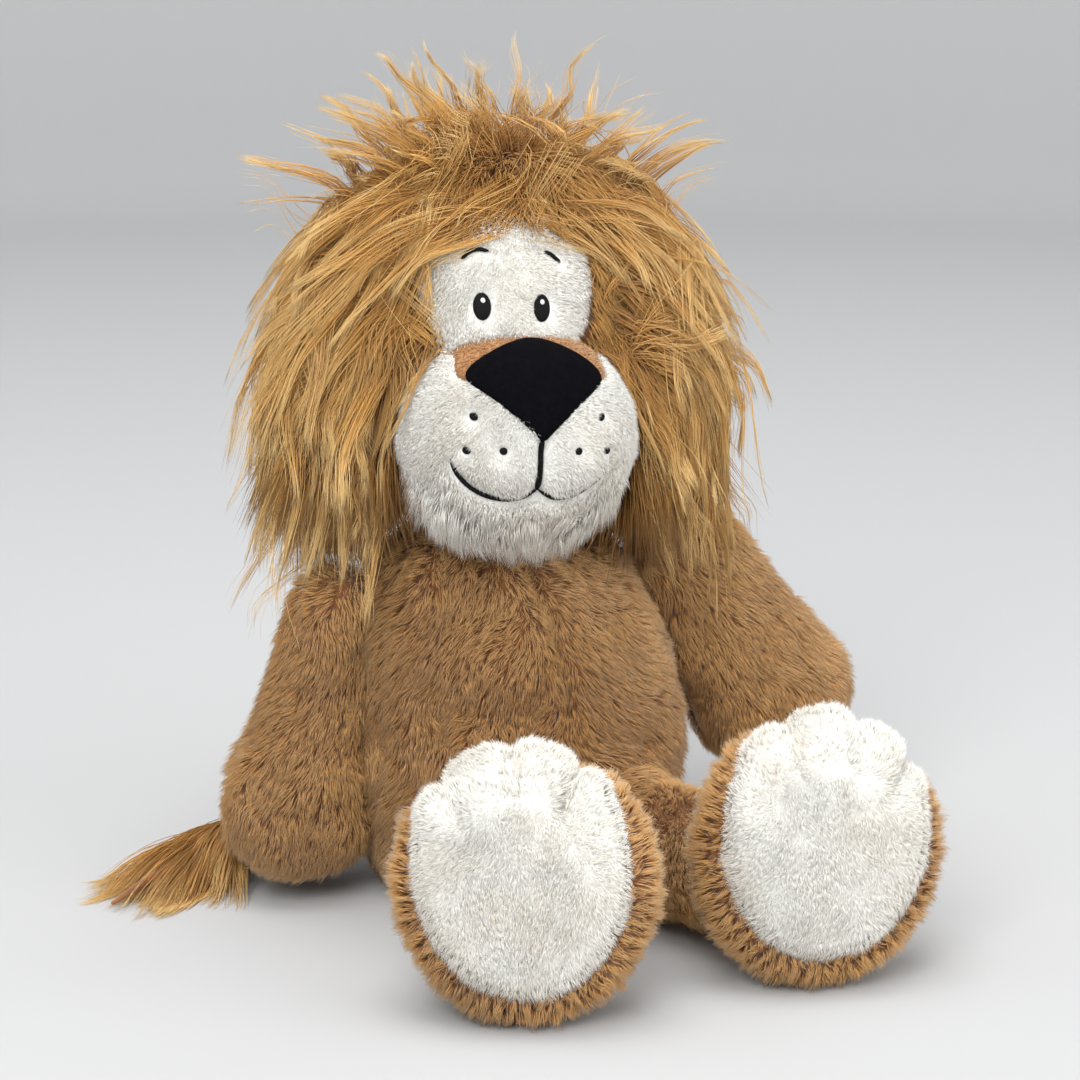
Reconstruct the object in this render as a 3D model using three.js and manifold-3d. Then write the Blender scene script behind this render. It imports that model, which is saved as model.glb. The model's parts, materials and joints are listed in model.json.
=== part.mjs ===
// A seated plush lion. Its stuffed head, arms, legs and tail are sewn to the body and turn at
// their seams, and a bag of beans weighs down the seat. Millimetres, with +Z up. The lion faces
// -Y, its right side is at -X, and the origin is the middle of its flat seat.

import * as THREE from 'three';
import { mergeVertices } from 'three/addons/utils/BufferGeometryUtils.js';
import Module from 'manifold-3d';

const wasm = await Module();
wasm.setup();

// Cloth and seams. Turning room is the play of a round seam in its socket.
const cloth = {
  thickness: 2,
  clearance: 0.3,
  turningRoom: 1.2,
  patchThickness: 1.6,
  threadThickness: 0.8,
  overrun: 60,
};

const torso = {
  height: 157,
  halfWidth: 70,
  halfDepth: 55,
  leanAside: -11,
  leanBack: 6,
  bellyAside: 5,
  beanDepth: 46,
};

// The neck's base is at the top of the torso.
const neck = { radius: 28, room: 0.9 };

const head = {
  halfWidth: 54,
  halfDepth: 51,
  height: 134,
  forward: 4,
  rise: 3,
  turnDegrees: -6,
  tiltDegrees: 3,
};

const muzzle = { halfWidth: 48, halfDepth: 44, height: 85, forward: 45, rise: 3.5 };

// The white face patch sits a little to the right of the muzzle's middle, as it is sewn.
const face = {
  aside: -6,
  halfWidth: 33,
  bottomHalfWidth: 25,
  topHalfWidth: 14,
  bottomBelowMuzzle: 12.5,
  middleBelowCrown: 31,
  topBelowCrown: 7,
};

const nose = {
  halfWidth: 27.5,
  tipBelowMuzzle: 37.5,
  cornerBelowMuzzle: 12.5,
  topBelowMuzzle: 0.5,
  thickness: 2.4,
  cornerRound: 5,
};

const bridge = { halfWidth: 25, topAboveMuzzle: 6.5 };

// The eyes' and the brows' heights are shares of the way from the muzzle's top to the crown.
const eye = { width: 7, height: 11.5, apart: 23.5, upShare: 0.196, thickness: 1.2 };

const brow = { length: 9, apart: 31, aside: -3.5, upShare: 0.608, sag: 3, width: 1.2 };

// The mouth's and the chin fur's heights are above the muzzle's lowest point.
const mouth = { halfWidth: 33, corner: 38.5, low: 23.5, middle: 28, threadWidth: 2.2 };

const whisker = { radius: 1.4 };

const chin = { thickness: 5, edge: 18.5, middle: 12.5, back: 24 };

const mane = {
  halfWidth: 102,
  halfDepth: 65,
  height: 141,
  aside: 3,
  back: 9,
  hem: 21,
  napeDrop: 28,
  hollowHalfWidth: 62,
  hollowHalfDepth: 54,
  hollowTop: 46,
  cheekHalfWidth: 49,
  lockDepth: 5,
  hemDrop: 5,
  lockRadius: 30,
  lockRoot: 100,
};

const arm = {
  halfWidth: 31,
  halfDepth: 28,
  length: 134,
  rise: 4,
  rootCentre: 17.4,
  openingRadius: 11,
  openingDrop: 14,
  elbowTop: 15,
  elbowBottom: 100,
  shoulderDrop: 17,
  shoulderBack: 3,
  backDegrees: 5,
};

// The hips sit in the front of the torso, with the legs just clear of the floor.
const leg = {
  rootRadius: 28,
  rootDegrees: 116,
  waistRadius: 25,
  ankleRadius: 27,
  length: 86,
  lift: 1.5,
  hipInset: 7,
};

const foot = {
  halfWidth: 48.5,
  halfHeight: 52,
  thickness: 43,
  sink: 0.5,
  leanDegrees: -12,
  toeSwell: 1.8,
  padHalfWidth: 40.5,
  padHalfHeight: 51,
  padRise: 9,
  padBack: 6,
};

const tail = {
  radius: 8,
  rootRadius: 9,
  lift: 2,
  rootInset: 3,
  endAside: -112,
  endBack: 53,
  bowBack: 71,
  tuftHalfWidth: 22,
  tuftHalfHeight: 13,
  tuftRise: 13.5,
  tuftLength: 62,
  tuftForward: 40,
  tuftTipRise: 3,
};

// Each side's own pose. Outward turns of the limbs are positive.
const sides = {
  right: {
    sign: -1,
    shoulderInset: 8,
    sleeveShare: 1,
    handCentre: 30.5,
    armDegrees: 0,
    hipAside: 33,
    legDegrees: 8,
    footTurnDegrees: -16,
    footTiltDegrees: -10,
    footAhead: 6,
  },
  left: {
    sign: 1,
    shoulderInset: 21.5,
    sleeveShare: 1.45,
    handCentre: 45,
    armDegrees: 23,
    hipAside: 34,
    legDegrees: 22,
    footTurnDegrees: -32,
    footTiltDegrees: 12,
    footAhead: 17,
  },
};

// Places that follow from the sizes above.
const shoulderHeight = torso.height - arm.shoulderDrop;
const hipForward = torso.halfDepth - leg.hipInset;
const hipHeight = leg.rootRadius + leg.lift;
const footRise = foot.halfHeight - hipHeight - foot.sink;
const tailRoot = [0, torso.halfDepth - tail.rootInset, tail.rootRadius + tail.lift];
const shoulderAside = (side) => torso.halfWidth - sides[side].shoulderInset;
const crown = head.rise + head.height;
const muzzleTop = muzzle.rise + muzzle.height;
const faceBottom = muzzleTop - face.bottomBelowMuzzle;

// Outlines as [radius share, height share], from the lowest point up.
const torsoOutlineShares = [
  [0.7, 0], [0.88, 0.075], [0.975, 0.19], [1, 0.38], [0.985, 0.57], [0.94, 0.73],
  [0.82, 0.84], [0.62, 0.93], [0.38, 0.985], [0, 1],
];
const headOutlineShares = [
  [0, 0], [0.4, 0.035], [0.7, 0.13], [0.92, 0.31], [1, 0.5], [0.95, 0.69], [0.77, 0.86],
  [0.45, 0.97], [0, 1],
];
const muzzleOutlineShares = [
  [0, 0], [0.45, 0.05], [0.78, 0.18], [0.96, 0.36], [1, 0.5], [0.93, 0.69], [0.72, 0.87],
  [0.4, 0.975], [0, 1],
];
const armOutlineShares = [
  [0, 0], [0.5, 0.02], [0.84, 0.075], [1, 0.17], [0.96, 0.28], [0.82, 0.42], [0.7, 0.58],
  [0.63, 0.74], [0.58, 0.87], [0.42, 0.965], [0, 1],
];
const footOutlineShares = [
  [0, 0], [0.42, 0.04], [0.76, 0.17], [0.94, 0.36], [1, 0.55], [0.95, 0.76], [0.8, 0.91],
  [0.5, 0.99], [0, 1],
];
// The shank of the leg as [radius, length share], from the hip to the ankle.
const shankShares = [[leg.waistRadius, 1 / 3], [leg.ankleRadius, 2 / 3], [leg.ankleRadius, 1]];
const maneOutlineShares = [
  [0.98, 0], [1, 0.13], [0.99, 0.3], [0.95, 0.5], [0.84, 0.68], [0.69, 0.83], [0.44, 0.95],
  [0, 1],
];
// Where the hem starts and stops dropping, from -1 in front of the mane to 1 behind it.
const napeShares = [0.4, 0.9];
const tuftOutlineShares = [[0, 0], [0.6, 0.06], [1, 0.3], [0.85, 0.55], [0.45, 0.82], [0, 1]];

// Upright locks on the crown, as shares of the mane's half width, half depth and height.
const crownLockShares = [
  [-0.76, -0.15, 0.95], [-0.41, 0.1, 1.08], [-0.13, -0.12, 1.16], [0.22, 0, 1.17],
  [0.52, -0.1, 1.11], [0.74, 0.1, 0.99],
];
const crownRootShare = 0.42;

// Mouth curve as [half width share, height share between its lowest point and its corner].
const smileShares = [[1, 1], [0.86, 0.48], [0.55, 0.04], [0.27, 0], [0, 0.3]];
// Whisker dots as [share of the mouth's half width, share of its corner's height].
const whiskerShares = [[0.78, 1.48], [0.86, 1.087], [0.45, 1.12]];

// The tail's bends as [share of its end's reach to the side, share between its bow and its end].
const tailBendShares = [[0.4, 0], [0.75, 0.5]];
// The tuft's bend as shares of its length and of its way forward.
const tuftBendShares = [1 / 3, 1 / 4];

const counts = {
  torsoSides: 20,
  torsoRings: 9,
  ballSides: 16,
  ballRings: 8,
  neckSides: 20,
  neckRings: 10,
  headSides: 20,
  headRings: 9,
  muzzleSides: 18,
  muzzleRings: 8,
  armSides: 14,
  armRings: 10,
  footSides: 24,
  footRings: 7,
  rootRings: 5,
  fillingSides: 8,
  tailSides: 8,
  tailRings: 8,
  tuftRings: 6,
  tuftSides: 10,
  maneSides: 48,
  maneRings: 8,
  maneLocks: 16,
  lockSides: 5,
  curvePoints: 4,
  padPoints: 8,
  toes: 3,
};

const toePitch = 2 * (2 * Math.PI / counts.footSides);
const quarterTurn = Math.PI / 2;
const radians = THREE.MathUtils.degToRad;

const finish = (color, roughness) => (
  new THREE.MeshStandardMaterial({ color, roughness, metalness: 0 })
);

const finishes = {
  brownPlush: finish(0xb27d4b, 0.95),
  whitePlush: finish(0xebebe6, 0.95),
  maneHair: finish(0xbe8746, 0.9),
  tanPlush: finish(0xc8965f, 0.95),
  noseVelour: finish(0x0f0f16, 0.9),
  thread: finish(0x101010, 0.7),
  stuffing: finish(0xf4f4f0, 1),
  beans: finish(0xd8d8cc, 0.6),
};

// Welds a three.js geometry into one closed skin and drops its collapsed triangles.
function welded(geometry) {
  const bare = geometry.clone();
  bare.deleteAttribute('normal');
  bare.deleteAttribute('uv');
  const skin = mergeVertices(bare);
  const kept = [];
  for (let i = 0; i < skin.index.count; i += 3) {
    const corners = [0, 1, 2].map((step) => skin.index.getX(i + step));
    if (new Set(corners).size === 3) kept.push(...corners);
  }
  skin.setIndex(kept);
  return skin;
}

function reshaped(geometry, change) {
  const form = geometry.clone();
  const places = form.attributes.position;
  const point = new THREE.Vector3();
  for (let i = 0; i < places.count; i += 1) {
    point.fromBufferAttribute(places, i);
    change(point);
    places.setXYZ(i, point.x, point.y, point.z);
  }
  return form;
}

// Moves a skin's points out along their normals by a distance, or in where it is negative.
function grown(geometry, distance) {
  const form = geometry.clone();
  form.computeVertexNormals();
  const { position, normal } = form.attributes;
  for (let i = 0; i < position.count; i += 1) {
    position.setXYZ(
      i,
      position.getX(i) + normal.getX(i) * distance,
      position.getY(i) + normal.getY(i) * distance,
      position.getZ(i) + normal.getZ(i) * distance,
    );
  }
  form.deleteAttribute('normal');
  return form;
}

// A round form of unit radius and unit height that stands on Z.
function turned(outlineShares, rings, roundSides, flatFoot = false) {
  const spline = new THREE.SplineCurve(outlineShares.map(([r, h]) => new THREE.Vector2(r, h)));
  const outline = spline.getPoints(rings).map(({ x, y }) => new THREE.Vector2(Math.max(x, 0), y));
  outline[outline.length - 1].x = 0;
  if (flatFoot) outline.unshift(new THREE.Vector2(0, outline[0].y));
  return welded(new THREE.LatheGeometry(outline, roundSides).rotateX(quarterTurn));
}

function ball(radius, roundSides, rings) {
  return welded(new THREE.SphereGeometry(radius, roundSides, rings).rotateX(quarterTurn));
}

function solid(geometry) {
  return new wasm.Manifold(new wasm.Mesh({
    numProp: 3,
    vertProperties: new Float32Array(geometry.attributes.position.array),
    triVerts: new Uint32Array(geometry.index.array),
  }));
}

// The layer of a skin between two distances from its surface.
function layer(geometry, inner, outer) {
  return solid(grown(geometry, outer)).subtract(solid(grown(geometry, inner)));
}

// A prism through an X-Z outline that runs forward from the plane y = back.
function frontPrism(shape, back, depth, curveSegments = counts.curvePoints) {
  const prism = new THREE.ExtrudeGeometry(shape, { depth, bevelEnabled: false, curveSegments });
  return solid(welded(prism.rotateX(quarterTurn).translate(0, back, 0)));
}

// The largest body of a solid, without the crumbs that a cut leaves at its edge.
function mainBody(body) {
  const bodies = body.decompose();
  return bodies.reduce((best, next) => (next.volume() > best.volume() ? next : best));
}

function piece(name, body, material) {
  const { numProp, vertProperties, triVerts } = mainBody(body).getMesh();
  const geometry = new THREE.BufferGeometry();
  geometry.setAttribute('position', new THREE.BufferAttribute(vertProperties, numProp));
  geometry.setIndex(new THREE.BufferAttribute(triVerts, 1));
  geometry.computeVertexNormals();
  const mesh = new THREE.Mesh(geometry, material);
  mesh.name = name;
  return mesh;
}

function groupAt(x, y, z, turnX, turnY, turnZ, order = 'XYZ') {
  const group = new THREE.Group();
  group.position.set(x, y, z);
  group.rotation.set(turnX, turnY, turnZ, order);
  group.updateMatrix();
  return group;
}

const smooth = (value, start, end) => THREE.MathUtils.smoothstep(value, start, end);

// Forms of the stuffed parts, each as its outer skin

function torsoForm(roundSides) {
  const form = turned(torsoOutlineShares, counts.torsoRings, roundSides, true);
  form.scale(torso.halfWidth, torso.halfDepth, torso.height);
  return reshaped(form, (point) => {
    const rise = point.z / torso.height;
    point.x += torso.leanAside * rise ** 2 + torso.bellyAside * Math.sin(Math.PI * rise);
    point.y += torso.leanBack * rise ** 2;
    point.x = THREE.MathUtils.clamp(
      point.x, -swingPlaneAside('right', point.z), swingPlaneAside('left', point.z),
    );
  });
}

// How far out the flat side of an arm lies at a height, less the seam's clearance.
function swingPlaneAside(side, height) {
  const outward = (shoulderHeight - height) * Math.tan(radians(sides[side].armDegrees));
  return shoulderAside(side) + outward - cloth.clearance;
}

function headForm(roundSides) {
  return turned(headOutlineShares, counts.headRings, roundSides)
    .scale(head.halfWidth, head.halfDepth, head.height)
    .translate(0, -head.forward, head.rise);
}

function muzzleForm(roundSides) {
  return turned(muzzleOutlineShares, counts.muzzleRings, roundSides)
    .scale(muzzle.halfWidth, muzzle.halfDepth, muzzle.height)
    .translate(0, -muzzle.forward, muzzle.rise);
}

// The arm hangs down from its shoulder, with its inner side along the plane of its swing.
function armForm({ sign, sleeveShare, handCentre }, roundSides) {
  const form = turned(armOutlineShares, counts.armRings, roundSides)
    .scale(arm.halfWidth, arm.halfDepth, arm.length)
    .translate(0, 0, arm.rise - arm.length);
  return reshaped(form, (point) => {
    const share = smooth(-point.z, arm.elbowTop, arm.elbowBottom);
    const middle = THREE.MathUtils.lerp(sleeveShare * arm.rootCentre, handCentre, share);
    point.x = sign * middle + point.x * THREE.MathUtils.lerp(sleeveShare, 1, share);
  });
}

// The leg points forward from a round root at the hip.
function legForm(roundSides) {
  const outline = [];
  for (let i = 0; i <= counts.rootRings; i += 1) {
    const angle = (i / counts.rootRings) * radians(leg.rootDegrees);
    outline.push(new THREE.Vector2(
      leg.rootRadius * Math.sin(angle), -leg.rootRadius * Math.cos(angle),
    ));
  }
  outline[0].x = 0;
  for (const [radius, share] of shankShares) {
    outline.push(new THREE.Vector2(radius, leg.length * share));
  }
  outline.push(new THREE.Vector2(0, leg.length));
  return welded(new THREE.LatheGeometry(outline, roundSides).rotateX(2 * quarterTurn));
}

// The foot is an upright egg-shaped disc whose sole faces forward, with rounded toes on top.
function footForm(toeSwell, roundSides) {
  const form = turned(footOutlineShares, counts.footRings, roundSides)
    .scale(foot.halfWidth, foot.halfHeight, foot.thickness)
    .translate(0, 0, -foot.thickness / 2)
    .rotateX(quarterTurn);
  return reshaped(form, (point) => {
    const angle = Math.atan2(point.x / foot.halfWidth, point.z / foot.halfHeight);
    const reach = Math.hypot(point.x, point.z);
    const inToes = Math.abs(angle) < toePitch * counts.toes / 2;
    const swell = inToes ? toeSwell * Math.cos(2 * Math.PI * angle / toePitch) : 0;
    const factor = 1 + swell * reach / (foot.halfHeight * foot.halfHeight);
    point.x *= factor;
    point.z *= factor;
  });
}

// Places the points of a unit form along a curve that runs near the floor.
function alongCurve(form, curve) {
  return reshaped(form, (point) => {
    const share = THREE.MathUtils.clamp(point.z, 0, 1);
    const ahead = curve.getTangentAt(share);
    const across = new THREE.Vector3(0, 0, 1).cross(ahead).normalize();
    const up = new THREE.Vector3().crossVectors(ahead, across);
    const middle = curve.getPointAt(share);
    const { x, y } = point;
    point.copy(middle).addScaledVector(across, x).addScaledVector(up, y);
  });
}

// Torso, neck and hips

const shoulderGroup = {};
const hipGroup = {};
const footGroup = {};
for (const [side, pose] of Object.entries(sides)) {
  shoulderGroup[side] = groupAt(
    pose.sign * shoulderAside(side), arm.shoulderBack, shoulderHeight,
    radians(arm.backDegrees), -pose.sign * radians(pose.armDegrees), 0, 'YXZ',
  );
  hipGroup[side] = groupAt(
    pose.sign * pose.hipAside, -hipForward, hipHeight,
    0, 0, pose.sign * radians(pose.legDegrees),
  );
  footGroup[side] = groupAt(
    0, -leg.length - pose.footAhead, footRise,
    radians(foot.leanDegrees), radians(pose.footTiltDegrees), radians(pose.footTurnDegrees), 'ZXY',
  );
}

const neckPlace = [torso.leanAside, torso.leanBack, torso.height];

// The round room that a seam of a given radius turns in.
function socket([x, y, z], radius) {
  const room = ball(radius + cloth.turningRoom, counts.ballSides, counts.ballRings);
  return solid(room.translate(x, y, z));
}

function neckRoomAt([x, y, z]) {
  const room = ball(neck.radius + neck.room, counts.neckSides, counts.neckRings);
  return solid(room.translate(x, y, z));
}

function tailCurve() {
  const [, rootBack, rise] = tailRoot;
  const bends = tailBendShares.map(([aside, ahead]) => new THREE.Vector3(
    tail.endAside * aside, THREE.MathUtils.lerp(tail.bowBack, tail.endBack, ahead), rise,
  ));
  return new THREE.CatmullRomCurve3([
    new THREE.Vector3(0, rootBack, rise),
    ...bends,
    new THREE.Vector3(tail.endAside, tail.endBack, rise),
  ]);
}

function torsoPieces() {
  const skin = torsoForm(counts.torsoSides);
  const core = torsoForm(counts.torsoSides / 2);
  const cuts = wasm.Manifold.union([
    neckRoomAt(neckPlace),
    socket(tailRoot, tail.rootRadius),
    ...Object.values(sides).map(({ sign, hipAside }) => (
      socket([sign * hipAside, -hipForward, hipHeight], leg.rootRadius)
    )),
  ]);
  const lining = solid(grown(skin, -cloth.thickness));
  const stuffed = solid(grown(core, -cloth.thickness - cloth.clearance)).subtract(cuts);
  const [top, bottom] = stuffed.splitByPlane([0, 0, 1], torso.beanDepth);
  const raised = top.translate([0, 0, cloth.clearance]);
  return [
    piece('torso_cover', solid(skin).subtract(lining).subtract(cuts), finishes.brownPlush),
    piece('torso_filling', raised.intersect(stuffed), finishes.stuffing),
    piece('bean_bag', bottom, finishes.beans),
  ];
}

function neckPieces() {
  const skin = ball(neck.radius, counts.neckSides, counts.neckRings);
  const lining = solid(grown(skin, -cloth.thickness));
  const core = solid(ball(
    neck.radius - cloth.thickness - 2 * cloth.clearance, counts.neckSides / 2, counts.neckRings,
  ));
  const mouthOfSeam = new THREE.CylinderGeometry(
    neck.radius / 2, neck.radius / 2, neck.radius * 2, counts.ballSides,
  );
  const opening = solid(welded(mouthOfSeam.rotateX(quarterTurn).translate(0, 0, -neck.radius)));
  return [
    piece('neck_cover', solid(skin).subtract(lining).subtract(opening), finishes.brownPlush),
    piece('neck_filling', core, finishes.stuffing),
  ];
}

// Head

const headSkin = headForm(counts.headSides);
const muzzleSkin = muzzleForm(counts.muzzleSides);
const neckRoom = () => neckRoomAt([0, 0, 0]);

function headStuffing() {
  const inset = -cloth.thickness - cloth.clearance;
  return solid(grown(headForm(counts.headSides / 2), inset))
    .add(solid(grown(muzzleForm(counts.muzzleSides / 2), inset)));
}

function stuffedHeadPieces() {
  const headShell = layer(headSkin, -cloth.thickness, 0)
    .subtract(solid(grown(muzzleSkin, -cloth.thickness)))
    .subtract(neckRoom());
  const muzzleShell = layer(muzzleSkin, -cloth.thickness, 0)
    .subtract(solid(grown(headSkin, cloth.clearance)))
    .subtract(neckRoom());
  return [
    piece('head_cover', headShell, finishes.brownPlush),
    piece('muzzle_cover', muzzleShell, finishes.whitePlush),
    piece('head_filling', headStuffing().subtract(neckRoom()), finishes.stuffing),
  ];
}

function faceShape(margin) {
  const { aside, halfWidth, bottomHalfWidth, topHalfWidth } = face;
  const middle = crown - face.middleBelowCrown;
  const top = crown - face.topBelowCrown;
  const side = (x) => [
    new THREE.Vector2(aside + x * (bottomHalfWidth + margin), faceBottom - margin),
    new THREE.Vector2(aside + x * (halfWidth + margin), middle),
    new THREE.Vector2(aside + x * (topHalfWidth + margin), top + margin),
  ];
  const shape = new THREE.Shape();
  const [low, mid, high] = side(1);
  const [lowLeft, midLeft, highLeft] = side(-1);
  shape.moveTo(low.x, low.y);
  shape.quadraticCurveTo(mid.x, (low.y + mid.y) / 2, mid.x, mid.y);
  shape.quadraticCurveTo(mid.x, high.y, high.x, high.y);
  shape.lineTo(highLeft.x, highLeft.y);
  shape.quadraticCurveTo(midLeft.x, high.y, midLeft.x, midLeft.y);
  shape.quadraticCurveTo(midLeft.x, (low.y + mid.y) / 2, lowLeft.x, lowLeft.y);
  shape.closePath();
  return shape;
}

// The nose is a rounded triangle with its tip down.
function noseShape(margin) {
  const { halfWidth, cornerRound } = nose;
  const tip = muzzleTop - nose.tipBelowMuzzle;
  const corner = muzzleTop - nose.cornerBelowMuzzle;
  const top = muzzleTop - nose.topBelowMuzzle;
  const wide = halfWidth + margin;
  const shape = new THREE.Shape();
  shape.moveTo(-cornerRound, tip + cornerRound / 2 - margin);
  shape.quadraticCurveTo(0, tip - margin, cornerRound, tip + cornerRound / 2 - margin);
  shape.lineTo(wide - cornerRound / 2, corner - cornerRound * 2);
  shape.quadraticCurveTo(wide, corner, wide - cornerRound, corner + cornerRound);
  shape.quadraticCurveTo(0, top + cornerRound + margin, -wide + cornerRound, corner + cornerRound);
  shape.quadraticCurveTo(-wide, corner, -wide + cornerRound / 2, corner - cornerRound * 2);
  shape.closePath();
  return shape;
}

function bridgeShape() {
  const { halfWidth } = bridge;
  const corner = muzzleTop - nose.cornerBelowMuzzle;
  const top = muzzleTop + bridge.topAboveMuzzle;
  const shape = new THREE.Shape();
  shape.moveTo(-halfWidth, corner);
  shape.lineTo(halfWidth, corner);
  shape.quadraticCurveTo(halfWidth, top - nose.cornerRound, 0, top);
  shape.quadraticCurveTo(-halfWidth, top - nose.cornerRound, -halfWidth, corner);
  return shape;
}

function ovalShape(x, z, halfWidth, halfHeight) {
  const shape = new THREE.Shape();
  shape.absellipse(x, z, halfWidth, halfHeight, 0, 2 * Math.PI);
  return shape;
}

// A band of thread along a line of points, seen from the front.
function threadShape(points, width) {
  const line = new THREE.SplineCurve(points).getPoints(points.length * 2);
  const edge = (offset) => line.map((place, i) => {
    const before = line[Math.max(i - 1, 0)];
    const after = line[Math.min(i + 1, line.length - 1)];
    const along = after.clone().sub(before).normalize();
    return new THREE.Vector2(place.x - along.y * offset, place.y + along.x * offset);
  });
  return new THREE.Shape([...edge(width / 2), ...edge(-width / 2).reverse()]);
}

const frontDepth = muzzle.halfDepth + cloth.overrun;
const patchOn = (skin, shape, start, thickness, back, curveSegments) => (
  layer(skin, start, start + thickness)
    .intersect(frontPrism(shape, -back, frontDepth, curveSegments))
);

function facePatches() {
  const { clearance, patchThickness } = cloth;
  const muzzleRoom = solid(grown(muzzleSkin, clearance));
  const headRoom = solid(grown(headSkin, 2 * clearance + patchThickness));
  const noseRoom = frontPrism(noseShape(clearance), -muzzle.forward, frontDepth);
  const facePatch = patchOn(
    headSkin, faceShape(0), clearance, patchThickness, head.forward,
  );
  const bridgePatch = patchOn(
    muzzleSkin, bridgeShape(), clearance, patchThickness, muzzle.forward,
  );
  const nosePatch = patchOn(muzzleSkin, noseShape(0), clearance, nose.thickness, muzzle.forward);
  return [
    piece('face_panel', facePatch.subtract(muzzleRoom), finishes.whitePlush),
    piece('nose_pad', nosePatch.subtract(headRoom), finishes.noseVelour),
    piece('nose_bridge', bridgePatch.subtract(headRoom).subtract(noseRoom), finishes.tanPlush),
  ];
}

function eyePieces() {
  const { clearance, patchThickness, threadThickness } = cloth;
  const start = 2 * clearance + patchThickness;
  const eyeMiddle = THREE.MathUtils.lerp(muzzleTop, crown, eye.upShare);
  const browTop = THREE.MathUtils.lerp(muzzleTop, crown, brow.upShare);
  const pieces = [];
  for (const [side, { sign }] of Object.entries(sides)) {
    const x = face.aside + sign * eye.apart / 2;
    const oval = ovalShape(x, eyeMiddle, eye.width / 2, eye.height / 2);
    const eyePatch = patchOn(
      headSkin, oval, start, eye.thickness, head.forward, counts.padPoints,
    );
    pieces.push(piece(`${side}_eye`, eyePatch, finishes.thread));
    const middle = brow.aside + sign * brow.apart / 2;
    const arc = [-1, 0, 1].map((step) => new THREE.Vector2(
      middle + step * sign * brow.length / 2,
      browTop - (step > 0 ? brow.sag : 0) - (step < 0 ? brow.sag / 3 : 0),
    ));
    const browPatch = patchOn(
      headSkin, threadShape(arc, brow.width), start, threadThickness, head.forward,
    );
    pieces.push(piece(`${side}_brow`, browPatch, finishes.thread));
  }
  return pieces;
}

function mouthPieces() {
  const { clearance, threadThickness } = cloth;
  const half = (sign) => threadShape(smileShares.map(([across, up]) => new THREE.Vector2(
    sign * across * mouth.halfWidth,
    muzzle.rise + THREE.MathUtils.lerp(mouth.low, mouth.corner, up),
  )), mouth.threadWidth);
  const stem = threadShape([
    new THREE.Vector2(0, muzzleTop - nose.tipBelowMuzzle + nose.cornerRound),
    new THREE.Vector2(0, muzzle.rise + mouth.middle - mouth.threadWidth / 2),
  ], mouth.threadWidth);
  const smile = wasm.Manifold.union(
    [half(-1), half(1), stem].map((shape) => frontPrism(shape, -muzzle.forward, frontDepth)),
  );
  const stitching = layer(muzzleSkin, clearance, clearance + threadThickness)
    .intersect(smile)
    .subtract(frontPrism(noseShape(clearance), -muzzle.forward, frontDepth));
  const pieces = [piece('mouth_stitching', stitching, finishes.thread)];
  for (const [side, { sign }] of Object.entries(sides)) {
    whiskerShares.forEach(([across, high], i) => {
      const dot = ovalShape(
        sign * across * mouth.halfWidth, muzzle.rise + high * mouth.corner,
        whisker.radius, whisker.radius,
      );
      const dotPatch = patchOn(muzzleSkin, dot, clearance, threadThickness, muzzle.forward);
      pieces.push(piece(`${side}_whisker_dot_${i + 1}`, dotPatch, finishes.thread));
    });
  }
  return pieces;
}

function chinPiece() {
  const { halfWidth, forward, halfDepth } = muzzle;
  const wide = halfWidth + cloth.overrun;
  const edge = muzzle.rise + chin.edge;
  const middle = muzzle.rise + chin.middle;
  const shape = new THREE.Shape();
  shape.moveTo(-wide, -cloth.overrun);
  shape.lineTo(wide, -cloth.overrun);
  shape.lineTo(wide, edge);
  shape.lineTo(halfWidth, edge);
  shape.quadraticCurveTo(0, 2 * middle - edge, -halfWidth, edge);
  shape.lineTo(-wide, edge);
  shape.closePath();
  const wedge = frontPrism(shape, -chin.back, forward + halfDepth + cloth.overrun);
  const fringe = layer(muzzleSkin, cloth.clearance, cloth.clearance + chin.thickness)
    .intersect(wedge)
    .subtract(solid(grown(headSkin, cloth.clearance)))
    .subtract(neckRoom());
  return piece('chin_fur', fringe, finishes.whitePlush);
}

function maneForm() {
  const form = turned(maneOutlineShares, counts.maneRings, counts.maneSides, true)
    .scale(mane.halfWidth, mane.halfDepth, mane.height)
    .translate(mane.aside, mane.back, mane.hem);
  return reshaped(form, (point) => {
    const across = point.x - mane.aside;
    const angle = Math.atan2(point.y - mane.back, across);
    const reach = Math.hypot(across, point.y - mane.back);
    const wave = Math.cos(counts.maneLocks * angle + 2 * Math.PI * point.z / mane.height);
    const atEdge = smooth(reach, 0, mane.halfDepth);
    const factor = 1 + atEdge * mane.lockDepth * wave / mane.halfWidth;
    point.x = mane.aside + across * factor;
    point.y = mane.back + (point.y - mane.back) * factor;
    if (point.z > mane.hem) return;
    const drop = mane.napeDrop * smooth(Math.sin(angle), ...napeShares);
    point.z -= atEdge * (drop + mane.hemDrop * Math.max(wave, 0));
  });
}

function crownLocks() {
  return crownLockShares.map(([across, deep, high]) => {
    const tip = new THREE.Vector3(
      across * mane.halfWidth, mane.back + deep * mane.halfDepth, mane.hem + high * mane.height,
    );
    const root = new THREE.Vector3(
      across * crownRootShare * mane.halfWidth, mane.back, mane.lockRoot,
    );
    const cone = new THREE.ConeGeometry(mane.lockRadius, tip.distanceTo(root), counts.lockSides)
      .rotateX(quarterTurn);
    const aim = new THREE.Quaternion().setFromUnitVectors(
      new THREE.Vector3(0, 0, 1), tip.clone().sub(root).normalize(),
    );
    const middle = tip.clone().add(root).multiplyScalar(1 / 2);
    return solid(welded(cone.applyQuaternion(aim).translate(middle.x, middle.y, middle.z)));
  });
}

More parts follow.
